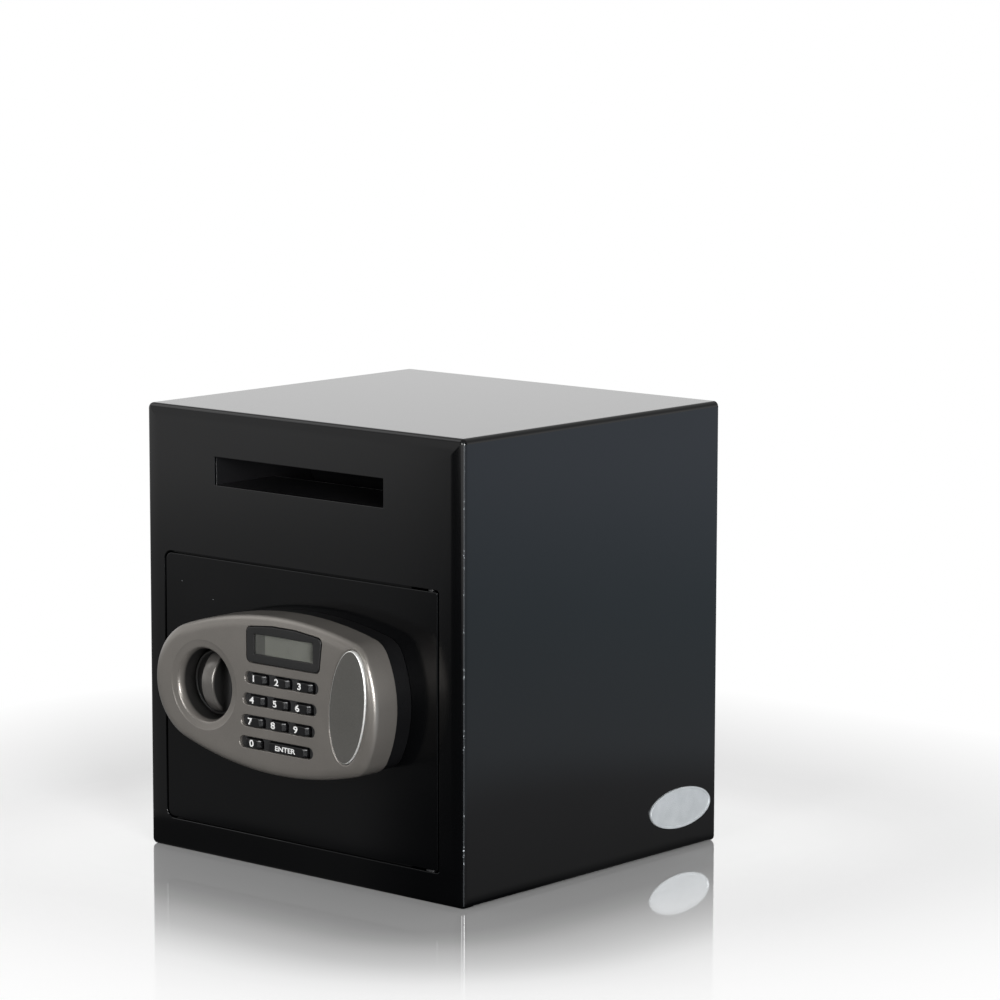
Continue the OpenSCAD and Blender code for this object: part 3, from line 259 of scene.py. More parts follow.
# the right side mirrors the painted glow of the floor beside it, behind a slant from the front right corner
slant = (0.87, 1, 0)
behind_slant = along(add, vectors(add, "MULTIPLY", vectors(add, "SIGN", spot), from_base), slant)
beside = maths(add, "MULTIPLY", reshape(add, part_of(add, spot, "X"), base_w, base_w + 0.02),
               reshape(add, behind_slant, 0.0, 0.02))
shine = blend_colours(add, beside, front_glow, side_glow)
mirrored = add("ShaderNodeEmission", {"Color": shine, "Strength": 1.0})
show(add, add("ShaderNodeMixShader", {
    0: add("ShaderNodeLightPath").outputs["Is Camera Ray"], 1: mirrored.outputs[0],
    2: to_lens.outputs[0]}))
floor_half = 9.0
corners = [(floor_half * x, floor_half * y, 0) for x, y in ((-1, -1), (1, -1), (1, 1), (-1, 1))]
floor = mesh_piece("floor", corners, [(0, 1, 2, 3)], floor_paint, tidy=False)

# Cabinet skin. A front and a wrap, folded from 2 mm steel, are welded flush behind the rounded
# front edges and powder coated black as one. The back plate drops in between the folds.
MM = 0.001
body_of = {node: body for body, nodes in frame["record"]["behaviour"]["bodies"].items() for node in nodes}


def settle(piece, node):
    """The piece takes the place of a CAD node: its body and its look."""
    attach(piece, body_of[node])
    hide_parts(node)
    return piece


def arc_loop(arcs, step=6.0, chord=1.0):
    """Closed outline as a chain of tangent arcs (centre, radius, first and last angle in
    degrees): the points c + r(cos a, sin a), and the unit normals (cos a, sin a). An arc is cut
    finely enough for both the step in degrees and the chord in metres."""
    angles, centres, radii = [], [], []
    for (cx, cz), r, first, last in arcs:
        n = 1 + max(1, math.ceil((last - first) / step), math.ceil(math.radians(last - first) * r / chord))
        turn = np.radians(np.linspace(first, last, n))
        angles.append(turn)
        centres.append(np.tile((cx, cz), (n, 1)))
        radii.append(np.full(n, r))
    angles, centres, radii = np.concatenate(angles), np.concatenate(centres), np.concatenate(radii)
    normals = np.stack((np.cos(angles), np.sin(angles)), 1)
    return centres + radii[:, None] * normals, normals


def rounded_arcs(corners, radii):
    """Arcs that round the corners of a convex outline, listed anticlockwise. The centre of a
    corner's arc lies at v - r(n + m)/(1 + n.m), where n and m are its two sides' normals."""
    corners = np.asarray(corners, dtype=float)
    ahead = np.roll(corners, -1, 0) - corners
    out = np.stack((ahead[:, 1], -ahead[:, 0]), 1) / np.linalg.norm(ahead, axis=1)[:, None]
    before = np.roll(out, 1, 0)
    radii = np.broadcast_to(radii, len(corners)).astype(float)
    centres = corners - (radii / (1 + (out * before).sum(1)))[:, None] * (out + before)
    first = np.degrees(np.arctan2(before[:, 1], before[:, 0]))
    turn = np.degrees(np.arctan2(out[:, 1], out[:, 0])) - first
    return [(c, r, a, a + t % 360) for c, r, a, t in zip(centres, radii, first, turn)]


def box_loop(x0, z0, x1, z1, radii, step=9.0):
    """Rectangle with rounded corners, from the lower right one anticlockwise."""
    return arc_loop(rounded_arcs([(x1, z0), (x1, z1), (x0, z1), (x0, z0)], radii), step)


def ring_loop(x, z, r, n=64):
    """Circle of n points."""
    turn = np.linspace(0, 2 * np.pi, n, endpoint=False)
    normals = np.stack((np.cos(turn), np.sin(turn)), 1)
    return np.array((x, z)) + r * normals, normals


class Shell:
    """Collects the grids and flats of one piece. An outline lies in the piece's front view
    (x, z), and a level moves it along its normals by an offset and back to a depth y."""

    def __init__(self):
        self.points, self.faces, self.count = [], [], 0

    def add(self, points, faces):
        self.points.append(points)
        self.faces.extend((np.asarray(f) + self.count).tolist() for f in faces)
        self.count += len(points)

    def grid(self, rows, closed=True):
        """Joins rows of points, an array of shape (levels, points, 3), with quads."""
        levels, n = rows.shape[:2]
        k, i = np.meshgrid(np.arange(levels - 1), np.arange(n if closed else n - 1), indexing="ij")
        j = (i + 1) % n
        quads = np.stack((k * n + i, k * n + j, (k + 1) * n + j, (k + 1) * n + i), -1)
        self.add(rows.reshape(-1, 3), quads.reshape(-1, 4))

    def rim(self, loop, levels):
        """Profile carried round an outline: levels are pairs (offset, y), where y may be one
        depth or a depth for each point of the outline."""
        points, normals = loop
        rows = []
        for offset, y in levels:
            flat = points + np.reshape(offset, (-1, 1)) * normals
            rows.append(np.stack((flat[:, 0], np.broadcast_to(y, len(flat)), flat[:, 1]), 1))
        self.grid(np.stack(rows))

    def fill(self, outlines, y, between=None):
        """Region inside the first outline and outside the others, which are its holes. The
        outlines are (points, normals, offset), y is a depth or a function of the flat points,
        and between holds further points for a face that isn't flat. A triangle stays where a
        line from its middle crosses the outlines an odd number of times."""
        rings = [points + np.reshape(offset, (-1, 1)) * normals for points, normals, offset in outlines]
        rings = [ring[np.linalg.norm(ring - np.roll(ring, 1, 0), axis=1) > 1e-7] for ring in rings]
        ends = np.concatenate([np.roll(ring, -1, 0) for ring in rings])
        places = np.concatenate(rings)
        starts = np.cumsum([0] + [len(ring) for ring in rings])
        edges = [(int(k), int(k + 1 if k + 1 < stop else start)) for start, stop in zip(starts, starts[1:])
                 for k in range(start, stop)]
        free = places if between is None else np.concatenate((places, between))
        found, _, faces, *_ = delaunay_2d_cdt([Vector(p) for p in free], edges, [], 0, 1e-8)
        found, faces = np.array([tuple(p) for p in found]), np.array(faces)
        x, z = np.moveaxis(found[faces].mean(1)[:, None, :], 2, 0)
        (ax, az), (bx, bz) = places.T, ends.T
        rise = np.where(bz == az, 1, bz - az)
        crossed = ((az > z) != (bz > z)) & (x < ax + (bx - ax) * (z - az) / rise)
        faces = faces[crossed.sum(1) % 2 == 1]
        depth = y(found) if callable(y) else np.full(len(found), y)
        self.add(np.stack((found[:, 0], depth, found[:, 1]), 1), faces)

    def piece(self, name, material, **options):
        return mesh_piece(name, np.concatenate(self.points), self.faces, material, **options)


def fillet(offset, y, r, quarter, n=5):
    """Levels of a rounded edge with radius r round the corner at (offset, y). The quarter
    gives the signs of the two faces' directions as seen from the corner."""
    side, deep = quarter
    turn = np.radians(np.linspace(0, 90, n + 1))
    return [(offset + side * r * (1 - math.sin(t)), y + deep * r * (1 - math.cos(t))) for t in turn]


def effect_group(name, inputs, outputs):
    """New node group with named inputs of the given kinds and outputs that are all numbers. It
    comes with the call that adds its nodes and the sockets that bring its inputs in."""
    group = bpy.data.node_groups.new(name, "ShaderNodeTree")
    for label, kind in inputs.items():
        group.interface.new_socket(label, in_out="INPUT", socket_type="NodeSocket" + kind)
    for label in outputs:
        group.interface.new_socket(label, in_out="OUTPUT", socket_type="NodeSocketFloat")
    add = nodes_of(group)
    return group, add, add("NodeGroupInput").outputs


def noise(add, place, size, detail, roughness=0.5):
    return add("ShaderNodeTexNoise", {"Vector": place, "Scale": size, "Detail": detail,
                                      "Roughness": roughness}).outputs["Fac"]


def cells(add, place, size, randomness=1.0):
    return add("ShaderNodeTexVoronoi", {"Vector": place, "Scale": size, "Randomness": randomness}).outputs


def bumps(add, height, strength, depth):
    return add("ShaderNodeBump", {"Height": height, "Strength": strength, "Distance": depth}).outputs[0]


def show_principled(add, inputs):
    show(add, add("ShaderNodeBsdfPrincipled", inputs))


# Effect shared by the painted steel: fine orange peel, a cloud of slightly thinner paint,
# and sparse light dust.
paint_skin, add, given = effect_group("paint_skin", {"Place": "Vector", "Dust": "Float"},
                                      ("Peel", "Cloud", "Dust"))
peel = noise(add, given["Place"], 900.0, 2.0, 0.45)
cloud = noise(add, given["Place"], 14.0, 3.0)
specks = cells(add, given["Place"], 130.0)
choice = add("ShaderNodeSeparateColor", {0: specks["Color"]}).outputs[0]
small = maths(add, "LESS_THAN", specks["Distance"], 0.045)
rare = maths(add, "GREATER_THAN", choice, 0.955)
dust = maths(add, "MULTIPLY", maths(add, "MULTIPLY", small, rare), given["Dust"])
add("NodeGroupOutput", {"Peel": peel, "Cloud": cloud, "Dust": dust})

skin, fold = 2 * MM, 4 * MM
wrap_lo, wrap_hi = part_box("body_wrap")
half_w, tall, joint_y, back_y = wrap_hi.x, wrap_hi.z, wrap_lo.y, wrap_hi.y
front_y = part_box("front_sheet")[0].y


def painted(name, dark, light, gloss, peel_height=0.008 * MM, dust=0.5, specular=0.5, chips_and_sheen=False):
    """Black powder coat. Its chips are bare specks where the front fold meets the right side, over a faint
    light line along that edge, which is a painted highlight.
    """
    material, add, spot = new_material(name)
    coat = add("ShaderNodeGroup", {"Place": spot, "Dust": dust}, node_tree=paint_skin).outputs
    colour = blend_colours(add, coat["Cloud"], (*dark, 1), (*light, 1))
    colour = blend_colours(add, coat["Dust"], colour, (0.30, 0.31, 0.32, 1))
    rough = reshape(add, coat["Cloud"], 0.3, 0.7, gloss - 0.02, gloss + 0.03)
    if chips_and_sheen:
        edge_line_x, edge_line_y = half_w - 1.0 * MM, front_y + 1.6 * MM
        away = vectors(add, "MULTIPLY", vectors(add, "SUBTRACT", spot, (edge_line_x, edge_line_y, 0)), (1, 1, 0))
        near = reshape(add, length_of(add, away), 0.2 * MM, 0.6 * MM, 1.0, 0.0)
        ragged, broken = noise(add, spot, 420.0, 3.0, 0.6), noise(add, spot, 70.0, 1.0)
        worn = maths(add, "MULTIPLY", reshape(add, ragged, 0.54, 0.66), reshape(add, broken, 0.50, 0.62))
        # a faint light line along the whole edge, a painted highlight of the tight fold, lies under the worn
        # specks
        edge_sheen = 0.05
        wear_and_sheen = maths(add, "MULTIPLY", near, maths(add, "MAXIMUM", worn, edge_sheen))
        colour = blend_colours(add, wear_and_sheen, colour, (0.62, 0.66, 0.70, 1))
        rough = reshape(add, wear_and_sheen, 0, 1, gloss, 0.45)
    show_principled(add, {"Base Color": colour, "Roughness": rough, "IOR": 1.46,
                          "Specular IOR Level": specular,
                          "Normal": bumps(add, coat["Peel"], 0.35, peel_height)})
    return material


cabinet_paint = painted("cabinet_paint", (0.0014, 0.0015, 0.0017), (0.0024, 0.0025, 0.0028), 0.13,
                        chips_and_sheen=True)
door_lo, door_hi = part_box("door_plate")
door_gap, door_foot_r, door_top_r = 1.5 * MM, 1 * MM, 5 * MM
chute_lo, chute_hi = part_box("deposit_chute")
mouth_box = (chute_lo.x + skin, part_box("fishing_guard")[1].z, chute_hi.x - skin, chute_hi.z - skin)

front = Shell()
outline = box_loop(-half_w, 0, half_w, tall, fold)
opening = box_loop(door_lo.x - door_gap, door_lo.z - door_gap, door_hi.x + door_gap, door_hi.z + door_gap,
                   np.array((door_foot_r, door_foot_r, door_top_r, door_top_r)) + door_gap)
mouth = box_loop(*mouth_box, 0.3 * MM, 30)
bend = np.radians(np.linspace(0, 90, 11))
# the fold starts softly: an arc of 60 mm turns the face by 8.6 degrees, and a tight one the rest
swell_r, swell = 60 * MM, math.radians(8.6)
tight_r = (fold - swell_r * (1 - math.cos(swell))) / math.cos(swell)
flat_end = swell_r * math.sin(swell) + tight_r * (1 - math.sin(swell))
folded = [(swell_r * math.sin(t) - flat_end, front_y + swell_r * (1 - math.cos(t)))
          for t in np.linspace(0, swell, 6)]
folded += [(tight_r * (math.sin(t) - 1), front_y + fold - tight_r * math.cos(t))
           for t in np.linspace(swell, math.pi / 2, 10)]
folded += [(0, joint_y), (-skin, joint_y)]
inner_r = fold - skin
folded += [(-fold + inner_r * math.sin(t), front_y + fold - inner_r * math.cos(t)) for t in bend[::-1]]
rings = []
for offset, y in folded:
    ring, _ = box_loop(-half_w - offset, -offset, half_w + offset, tall + offset, max(fold + offset, 1e-5))
    rings.append(np.stack((ring[:, 0], np.full(len(ring), y), ring[:, 1]), 1))
front.grid(np.stack(rings))
fold_start, cut_r = rings[0][:, [0, 2]], 0.5 * MM
cut_edge = fillet(0, front_y, cut_r, (1, 1)) + [(0, front_y + skin)]
front.rim(opening, cut_edge)
front.rim(mouth, cut_edge)
front.fill([(fold_start, 0 * fold_start, 0), (*opening, cut_r), (*mouth, cut_r)], front_y)
front.fill([(*outline, -fold), (*opening, 0), (*mouth, 0)], front_y + skin)
settle(front.piece("front_sheet", cabinet_paint), "front_sheet")

# the wrap's section runs from the joint to the back. Its base, worked out in plan with the two
# anchor holes, takes the place of the section's flat bottom.
anchor_r, base_anchor_x, hole_edge = 6 * MM, 90 * MM, 0.3 * MM
wrap = Shell()
wrap.rim(outline, [(-skin, joint_y), (0, joint_y), (0, back_y), (-skin, back_y), (-skin, joint_y)])
wrap.faces = [face for face in wrap.faces if max(wrap.points[0][i][2] for i in face) >= skin + 1e-6]
base = Shell()
flat_x = half_w - fold
plan = (np.array([(-flat_x, joint_y), (flat_x, joint_y), (flat_x, back_y), (-flat_x, back_y)]),
        np.zeros((4, 2)))
holes = [ring_loop(s * base_anchor_x, 0.0, anchor_r, 48) for s in (-1, 1)]
for hole in holes:
    base.rim(hole, [(hole_edge, 0.0), (0.0, hole_edge), (0.0, skin)])
base.fill([(*plan, 0)] + [(*hole, hole_edge) for hole in holes], 0.0)
base.fill([(*plan, 0)] + [(*hole, 0) for hole in holes], skin)
for y in (joint_y, back_y):
    base.grid(np.array([[(x, z, y) for x in (-flat_x, flat_x)] for z in (0.0, skin)]), closed=False)
wrap.add(np.concatenate(base.points)[:, [0, 2, 1]], base.faces)
settle(wrap.piece("body_wrap", cabinet_paint), "body_wrap")

back = Shell()
back_anchor_x, back_anchor_z, back_edge = 75 * MM, 200 * MM, 0.4 * MM
sheet_edge = box_loop(-half_w + skin, skin, half_w - skin, tall - skin, fold - skin)
back_holes = [ring_loop(s * back_anchor_x, back_anchor_z, anchor_r, 48) for s in (-1, 1)]
back.rim(sheet_edge, [(0, back_y - skin)] + fillet(0, back_y, back_edge, (-1, -1), 3)[::-1])
for hole in back_holes:
    back.rim(hole, [(0, back_y - skin)] + fillet(0, back_y, back_edge, (1, -1), 3)[::-1])
back.fill([(*sheet_edge, -back_edge)] + [(*hole, back_edge) for hole in back_holes], back_y)
back.fill([(*sheet_edge, 0)] + [(*hole, 0) for hole in back_holes], back_y - skin)
settle(back.piece("back_plate", cabinet_paint), "back_plate")

# Folded parts inside the cabinet: the door's frame with its strike side, and the chute with
# its toothed guard. They are bent sheet too, so every edge is slightly round.


def dressed(node, material, soft=0.3 * MM, keep=30):
    """The CAD node's own mesh with its triangles joined to flats, small rounded edges and even
    normals."""
    mesh = frame["nodes"][node].data.copy()
    work = bmesh.new()
    work.from_mesh(mesh)
    bmesh.ops.remove_doubles(work, verts=work.verts, dist=1e-6)
    bmesh.ops.dissolve_limit(work, angle_limit=math.radians(1), verts=work.verts, edges=work.edges)
    bmesh.ops.recalc_face_normals(work, faces=work.faces)
    work.to_mesh(mesh)
    work.free()
    mesh.shade_smooth()
    mesh.set_sharp_from_angle(angle=math.radians(keep))
    mesh.materials.clear()
    mesh.materials.append(material)
    piece = bpy.data.objects.new(node + "_soft", mesh)
    bpy.context.collection.objects.link(piece)
    edge = piece.modifiers.new("soft_edges", "BEVEL")
    edge.width, edge.segments, edge.limit_method = soft, 2, "ANGLE"
    edge.angle_limit = math.radians(keep)
    edge.use_clamp_overlap = True
    even = piece.modifiers.new("even_normals", "WEIGHTED_NORMAL")
    even.keep_sharp = True
    return settle(piece, node)


inner_paint = painted("inner_paint", (0.006, 0.006, 0.0065), (0.010, 0.010, 0.011), 0.30, 0.016 * MM, 0.3)
dressed("door_frame", cabinet_paint)
dressed("strike_jamb", cabinet_paint)
dressed("deposit_chute", inner_paint)

# Effect shared by the metals and the moulded resins: broad tones, and a fine grain that can be
# drawn out into long strokes.
metal_skin, add, given = effect_group(
    "metal_skin", {"Place": "Vector", "Stretch": "Vector", "Size": "Float"}, ("Tone", "Grain"))
drawn = vectors(add, "MULTIPLY", given["Place"], given["Stretch"])
add("NodeGroupOutput", {"Tone": noise(add, given["Place"], 35.0, 3.0),
                        "Grain": noise(add, drawn, given["Size"], 3.0, 0.6)})


def grained(name, dark, light, metallic, rough, size=500.0, stretch=(1, 1, 1), height=0.02 * MM, ior=1.46,
            coat=0.0, spread=0.06):
    """Surface with broad tones from dark to light and a grain that also turns its roughness."""
    material, add, spot = new_material(name)
    worked = add("ShaderNodeGroup", {"Place": spot, "Stretch": stretch, "Size": size},
                 node_tree=metal_skin).outputs
    colour = blend_colours(add, reshape(add, worked["Tone"], 0.3, 0.7), (*dark, 1), (*light, 1))
    finish = reshape(add, worked["Grain"], 0.3, 0.7, rough - spread, rough + spread)
    show_principled(add, {"Base Color": colour, "Roughness": finish, "Metallic": metallic, "IOR": ior,
                          "Coat Weight": coat, "Normal": bumps(add, worked["Grain"], 0.5, height)})
    return material


zinc = grained("zinc_plate", (0.42, 0.42, 0.43), (0.55, 0.55, 0.54), 1.0, 0.38, 300.0)
ground = grained("ground_steel", (0.50, 0.50, 0.51), (0.60, 0.60, 0.60), 1.0, 0.24, 900.0, (0.06, 1, 1))
nylon = grained("black_nylon", (0.010, 0.010, 0.011), (0.016, 0.016, 0.017), 0.0, 0.42, 400.0)
dressed("fishing_guard", zinc, 0.2 * MM)

# Felt. A sheet of needled felt lies on the cabinet's base, where what drops in lands softly. Its
# fibres give it a matt, mottled nap.
felt, add, spot = new_material("needle_felt")
fibres = noise(add, vectors(add, "MULTIPLY", spot, (1, 1, 0.2)), 1400.0, 4.0, 0.75)
shade = blend_colours(add, noise(add, spot, 90.0, 4.0), (0.012, 0.012, 0.014, 1), (0.028, 0.028, 0.031, 1))
shade = blend_colours(add, reshape(add, fibres, 0.45, 0.75), shade, (0.055, 0.055, 0.06, 1))
show_principled(add, {"Base Color": shade, "Roughness": 0.95, "Sheen Weight": 0.3,
                      "Normal": bumps(add, fibres, 0.9, 0.4 * MM)})


def repaint(node, material):
    """A CAD node whose shape is right keeps its mesh and takes a material."""
    mesh = frame["nodes"][node].data
    mesh.materials.clear()
    mesh.materials.append(material)


repaint("floor_felt", felt)

# Side badge. A plain oval of cast metal with a raised rim is pressed onto the cabinet's right
# side. Fine pits give it its satin finish.
badge_metal, add, spot = new_material("badge_metal")
pits, mist = cells(add, spot, 1500.0, 0.9)["Distance"], noise(add, spot, 120.0, 3.0)
show_principled(add, {"Base Color": blend_colours(add, mist, (0.50, 0.53, 0.55, 1), (0.66, 0.69, 0.71, 1)),
                      "Metallic": 0.35, "Roughness": reshape(add, mist, 0.3, 0.7, 0.34, 0.46),
                      "Normal": bumps(add, pits, 0.8, 0.12 * MM)})
badge_lo, badge_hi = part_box("side_badge")
rim_w, rim_h = 1.6 * MM, 0.4 * MM


def oval_loop(x, z, a, b, lean=0.0, n=120):
    """Ellipse round (x, z) with half axes a and b, leaning to the right by an angle in degrees."""
    turn = np.linspace(0, 2 * np.pi, n, endpoint=False)
    c, s = math.cos(math.radians(-lean)), math.sin(math.radians(-lean))
    lay = np.array(((c, s), (-s, c)))
    normals = np.stack((np.cos(turn) / a, np.sin(turn) / b), 1) @ lay
    normals /= np.linalg.norm(normals, axis=1)[:, None]
    return np.stack((a * np.cos(turn), b * np.sin(turn)), 1) @ lay + (x, z), normals


# worked out in its own front view, where the depth runs from its face to the cabinet's side, and
# then turned onto that side
badge = Shell()
badge_y, badge_z = (badge_lo.y + badge_hi.y) / 2, (badge_lo.z + badge_hi.z) / 2
badge_edge = oval_loop(badge_y, badge_z, (badge_hi.y - badge_lo.y) / 2, (badge_hi.z - badge_lo.z) / 2)
badge_foot, badge_face, plain_inset = -badge_lo.x, -badge_hi.x, rim_w + 0.15 * MM
badge.rim(badge_edge, [(0, badge_foot)] + fillet(0, badge_face, 0.35 * MM, (-1, 1))[::-1]
          + fillet(-rim_w, badge_face, 0.25 * MM, (1, 1), 3) + [(-plain_inset, badge_face + rim_h)])
badge.fill([(*badge_edge, -plain_inset)], badge_face + rim_h)
badge.fill([(*badge_edge, 0)], badge_foot)
badge.points = [np.stack((-p[:, 1], p[:, 0], p[:, 2]), 1) for p in badge.points]
settle(badge.piece("side_badge", badge_metal), "side_badge")

# Door. A 4 mm plate turns on two pins and carries a pressed lock case on its back. Bolts, bar,
# crank and solenoid work inside the case, which a thin cover closes with countersunk screws.
door_paint = painted("door_paint", (0.0014, 0.0015, 0.0017), (0.0022, 0.0023, 0.0026), 0.15, dust=0.8,
                     specular=0.34)
door_t, door_soft = 4 * MM, 0.6 * MM
barrel_lo, barrel_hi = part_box("lock_barrel")
cover_x, cover_z = (barrel_lo.x + barrel_hi.x) / 2, (barrel_lo.z + barrel_hi.z) / 2
knob_lo, knob_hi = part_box("knob")
knob_x, panel_z = (knob_lo.x + knob_hi.x) / 2, (knob_lo.z + knob_hi.z) / 2
cable_r, cable_hi = 1.8 * MM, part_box("lock_cable")[1]
barrel_r, cable_hole_r, bush_r = 9.1 * MM, 2.8 * MM, 6.5 * MM
shared_holes = [ring_loop(cover_x, cover_z, barrel_r, 48),
                ring_loop(cable_hi.x - cable_r, cable_hi.z - cable_r, cable_hole_r, 24)]
plate_holes = [ring_loop(knob_x, panel_z, bush_r, 48), *shared_holes]
plate = Shell()
door_edge = box_loop(door_lo.x, door_lo.z, door_hi.x, door_hi.z,
                     (door_foot_r, door_foot_r, door_top_r, door_top_r))
plate.rim(door_edge, fillet(0, front_y, door_soft, (-1, 1)) + [(0, front_y + door_t)])
for hole in plate_holes:
    plate.rim(hole, [(0, front_y), (0, front_y + door_t)])
plate.fill([(*door_edge, -door_soft)] + [(*hole, 0) for hole in plate_holes], front_y)
plate.fill([(*door_edge, 0)] + [(*hole, 0) for hole in plate_holes], front_y + door_t)
settle(plate.piece("door_plate", door_paint), "door_plate")

dressed("lock_case", inner_paint, 0.5 * MM)
dressed("case_cover", inner_paint, 0.25 * MM)
dressed("hinge_blocks", inner_paint)
for node in ("hinge_pins", "hinge_washer"):
    repaint(node, nylon)
for node in ("bolt_guides", "bolt_bar", "knob_crank"):
    dressed(node, zinc)
dressed("locking_bolts", ground, 0.5 * MM, 40)
for node in ("cover_screws", "bar_studs", "lock_screws", "barrel_nut", "plug_cam"):
    repaint(node, zinc)
for node in ("knob_spindle", "solenoid_plunger", "plunger_spring"):
    repaint(node, ground)
black_resin = grained("black_resin", (0.016, 0.016, 0.017), (0.022, 0.022, 0.023), 0.0, 0.45, 700.0,
                      height=0.03 * MM)
dressed("solenoid", black_resin)
dressed("reset_switch", black_resin, 0.2 * MM)
dressed("battery_box", black_resin)
dressed("battery_lid", black_resin, 0.35 * MM)
repaint("batteries", grained("cell_wrap", (0.40, 0.25, 0.06), (0.50, 0.32, 0.09), 0.5, 0.30, 60.0, coat=0.4))
repaint("lock_cable", grained("cable_sleeve", (0.30, 0.012, 0.012), (0.36, 0.02, 0.02), 0.0, 0.5, 900.0))
repaint("reset_button", grained("red_resin", (0.36, 0.015, 0.015), (0.42, 0.022, 0.02), 0.0, 0.28, 300.0))
repaint("spindle_bush", grained("turned_brass", (0.52, 0.36, 0.13), (0.60, 0.44, 0.18), 1.0, 0.28, 900.0,
                                (1, 0.05, 1)))

# Lock panel's black base. It is a moulded tray, 15.5 mm deep, that four screws pull onto the
# door from behind. Its outline is one chain of tangent arcs, set in under the silver housing.
shell_lo, shell_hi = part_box("lock_housing")
# the arcs are the right side, a corner, the long crest and the tip at the left. The first two end
# at the given angles in degrees, and the crest ends where the tip's arc, whose centre lies on the
# panel's middle line, goes on in its direction.
side_r, corner_r, crest_r, tip_r = 81 * MM, 18 * MM, 275 * MM, 43 * MM
side_a, corner_a = 27.1, 75.0


def polar(r, a):
    """Point at a distance and an angle in degrees: r(cos a, sin a)."""
    return r * np.array((math.cos(math.radians(a)), math.sin(math.radians(a))))


side_c = np.array((shell_hi.x - side_r, 0))
corner_c = side_c + polar(side_r - corner_r, side_a)
crest_c = corner_c - polar(crest_r - corner_r, corner_a)
crest_a = 180 - math.degrees(math.asin(-crest_c[1] / (crest_r - tip_r)))
tip_c = crest_c + polar(crest_r - tip_r, crest_a)
upper = [(corner_c, corner_r, side_a, corner_a), (crest_c, crest_r, corner_a, crest_a)]
lower = [(c * (1, -1), r, 360 - last, 360 - first) for c, r, first, last in upper[::-1]]
panel_arcs = [(c + (0, panel_z), r, first, last) for c, r, first, last in
              [(side_c, side_r, -side_a, side_a), *upper, (tip_c, tip_r, crest_a, 360 - crest_a), *lower]]
panel = arc_loop(panel_arcs, 4.0, 2.4 * MM)

seam_y, face_y = shell_hi.y, shell_lo.y
wall, overhang, tray_edge = 2.5 * MM, 1 * MM, 0.8 * MM
tray_y, nut_r = front_y - wall, 8.5 * MM
black_satin = grained("black_satin", (0.0045, 0.0045, 0.0050), (0.0065, 0.0065, 0.0070), 0.0, 0.30, 1200.0,
                      height=0.006 * MM, ior=1.33, spread=0.03)
tray = Shell()
tray.rim(panel, [(-overhang - wall, tray_y), (-overhang - wall, seam_y), (-overhang, seam_y)]
         + fillet(-overhang, front_y, tray_edge, (-1, -1), 4)[::-1])
tray_holes = [ring_loop(knob_x, panel_z, nut_r, 48), *shared_holes]
for hole in tray_holes:
    tray.rim(hole, [(0, front_y), (0, tray_y)])
tray.fill([(*panel, -overhang - tray_edge)] + [(*hole, 0) for hole in tray_holes], front_y)
tray.fill([(*panel, -overhang - wall)] + [(*hole, 0) for hole in tray_holes], tray_y)
settle(tray.piece("lock_base", black_satin), "lock_base")

# Silver housing. It is moulded in one with the dished cup round the knob, the round-lipped oval
# pocket of the key cover, the display's opening and the slots of the key rows, and sprayed with
# a satin metallic paint.
soft_w, soft_d, soft_n = 8.6 * MM, 5.6 * MM, 2.3


def edge_drop(flat):
    """How far the face falls back near the panel's outline. At a distance d inside it the drop
    is h(1 - (1 - u^n)^(1/n)) with u = 1 - d/w, a curve that starts flat and ends in the side."""
    d = np.full(len(flat), np.inf)
    for c, r, first, last in panel_arcs:
        out = flat - c
        a = np.degrees(np.arctan2(out[:, 1], out[:, 0]))
        inside = (a - first) % 360 <= last - first
        d = np.where(inside, np.minimum(d, r - np.linalg.norm(out, axis=1)), d)
    u = np.clip(1 - d / soft_w, 0, 1)
    return soft_d * (1 - (1 - u ** soft_n) ** (1 / soft_n))


# the dish in mm, as pairs of distance outside the cup's wall and depth behind the face: a crease,
# a slightly sloping band, and a tight lip into the cup
cup_r, cup_y, spindle_r = 25 * MM, seam_y - wall, 5 * MM
dish = [(7.0, 0), (6.7, .04), (6.4, .14), (6.1, .30), (4.2, .62), (2.6, .82), (2.1, .95), (1.65, 1.15),
        (1.25, 1.5), (.9, 2.0), (.5, 2.9), (.15, 4.0), (0, 5.2)]
cup = ring_loop(knob_x, panel_z, cup_r, 128)
spindle_hole = ring_loop(knob_x, panel_z, spindle_r, 128)
cover_lo, cover_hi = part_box("override_cover")
cover_gap, lean = 0.4 * MM, 6
oval_a, oval_b = 16.3 * MM, 39.5 * MM
pocket = oval_loop(cover_x, cover_z, oval_a + cover_gap, oval_b + cover_gap, lean)
pocket_y = cover_hi.y + 0.3 * MM
barrel_hole = ring_loop(cover_x, cover_z, barrel_r, 120)

# the slots lie in even steps, so the lowest one follows from the two above it
row_half, row_r, row_lift = 69.5 / 2 * MM, 4.15 * MM, 0.85 * MM
row_mids = [((lo.x + hi.x) / 2, (lo.z + hi.z) / 2) for lo, hi in map(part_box, ("key_2", "key_5", "key_8"))]
row_mids.append(tuple(2 * lower - upper for upper, lower in zip(*row_mids[1:])))
row_loops = [box_loop(x - row_half, z + row_lift - row_r, x + row_half, z + row_lift + row_r, row_r - 1e-6)
             for x, z in row_mids]

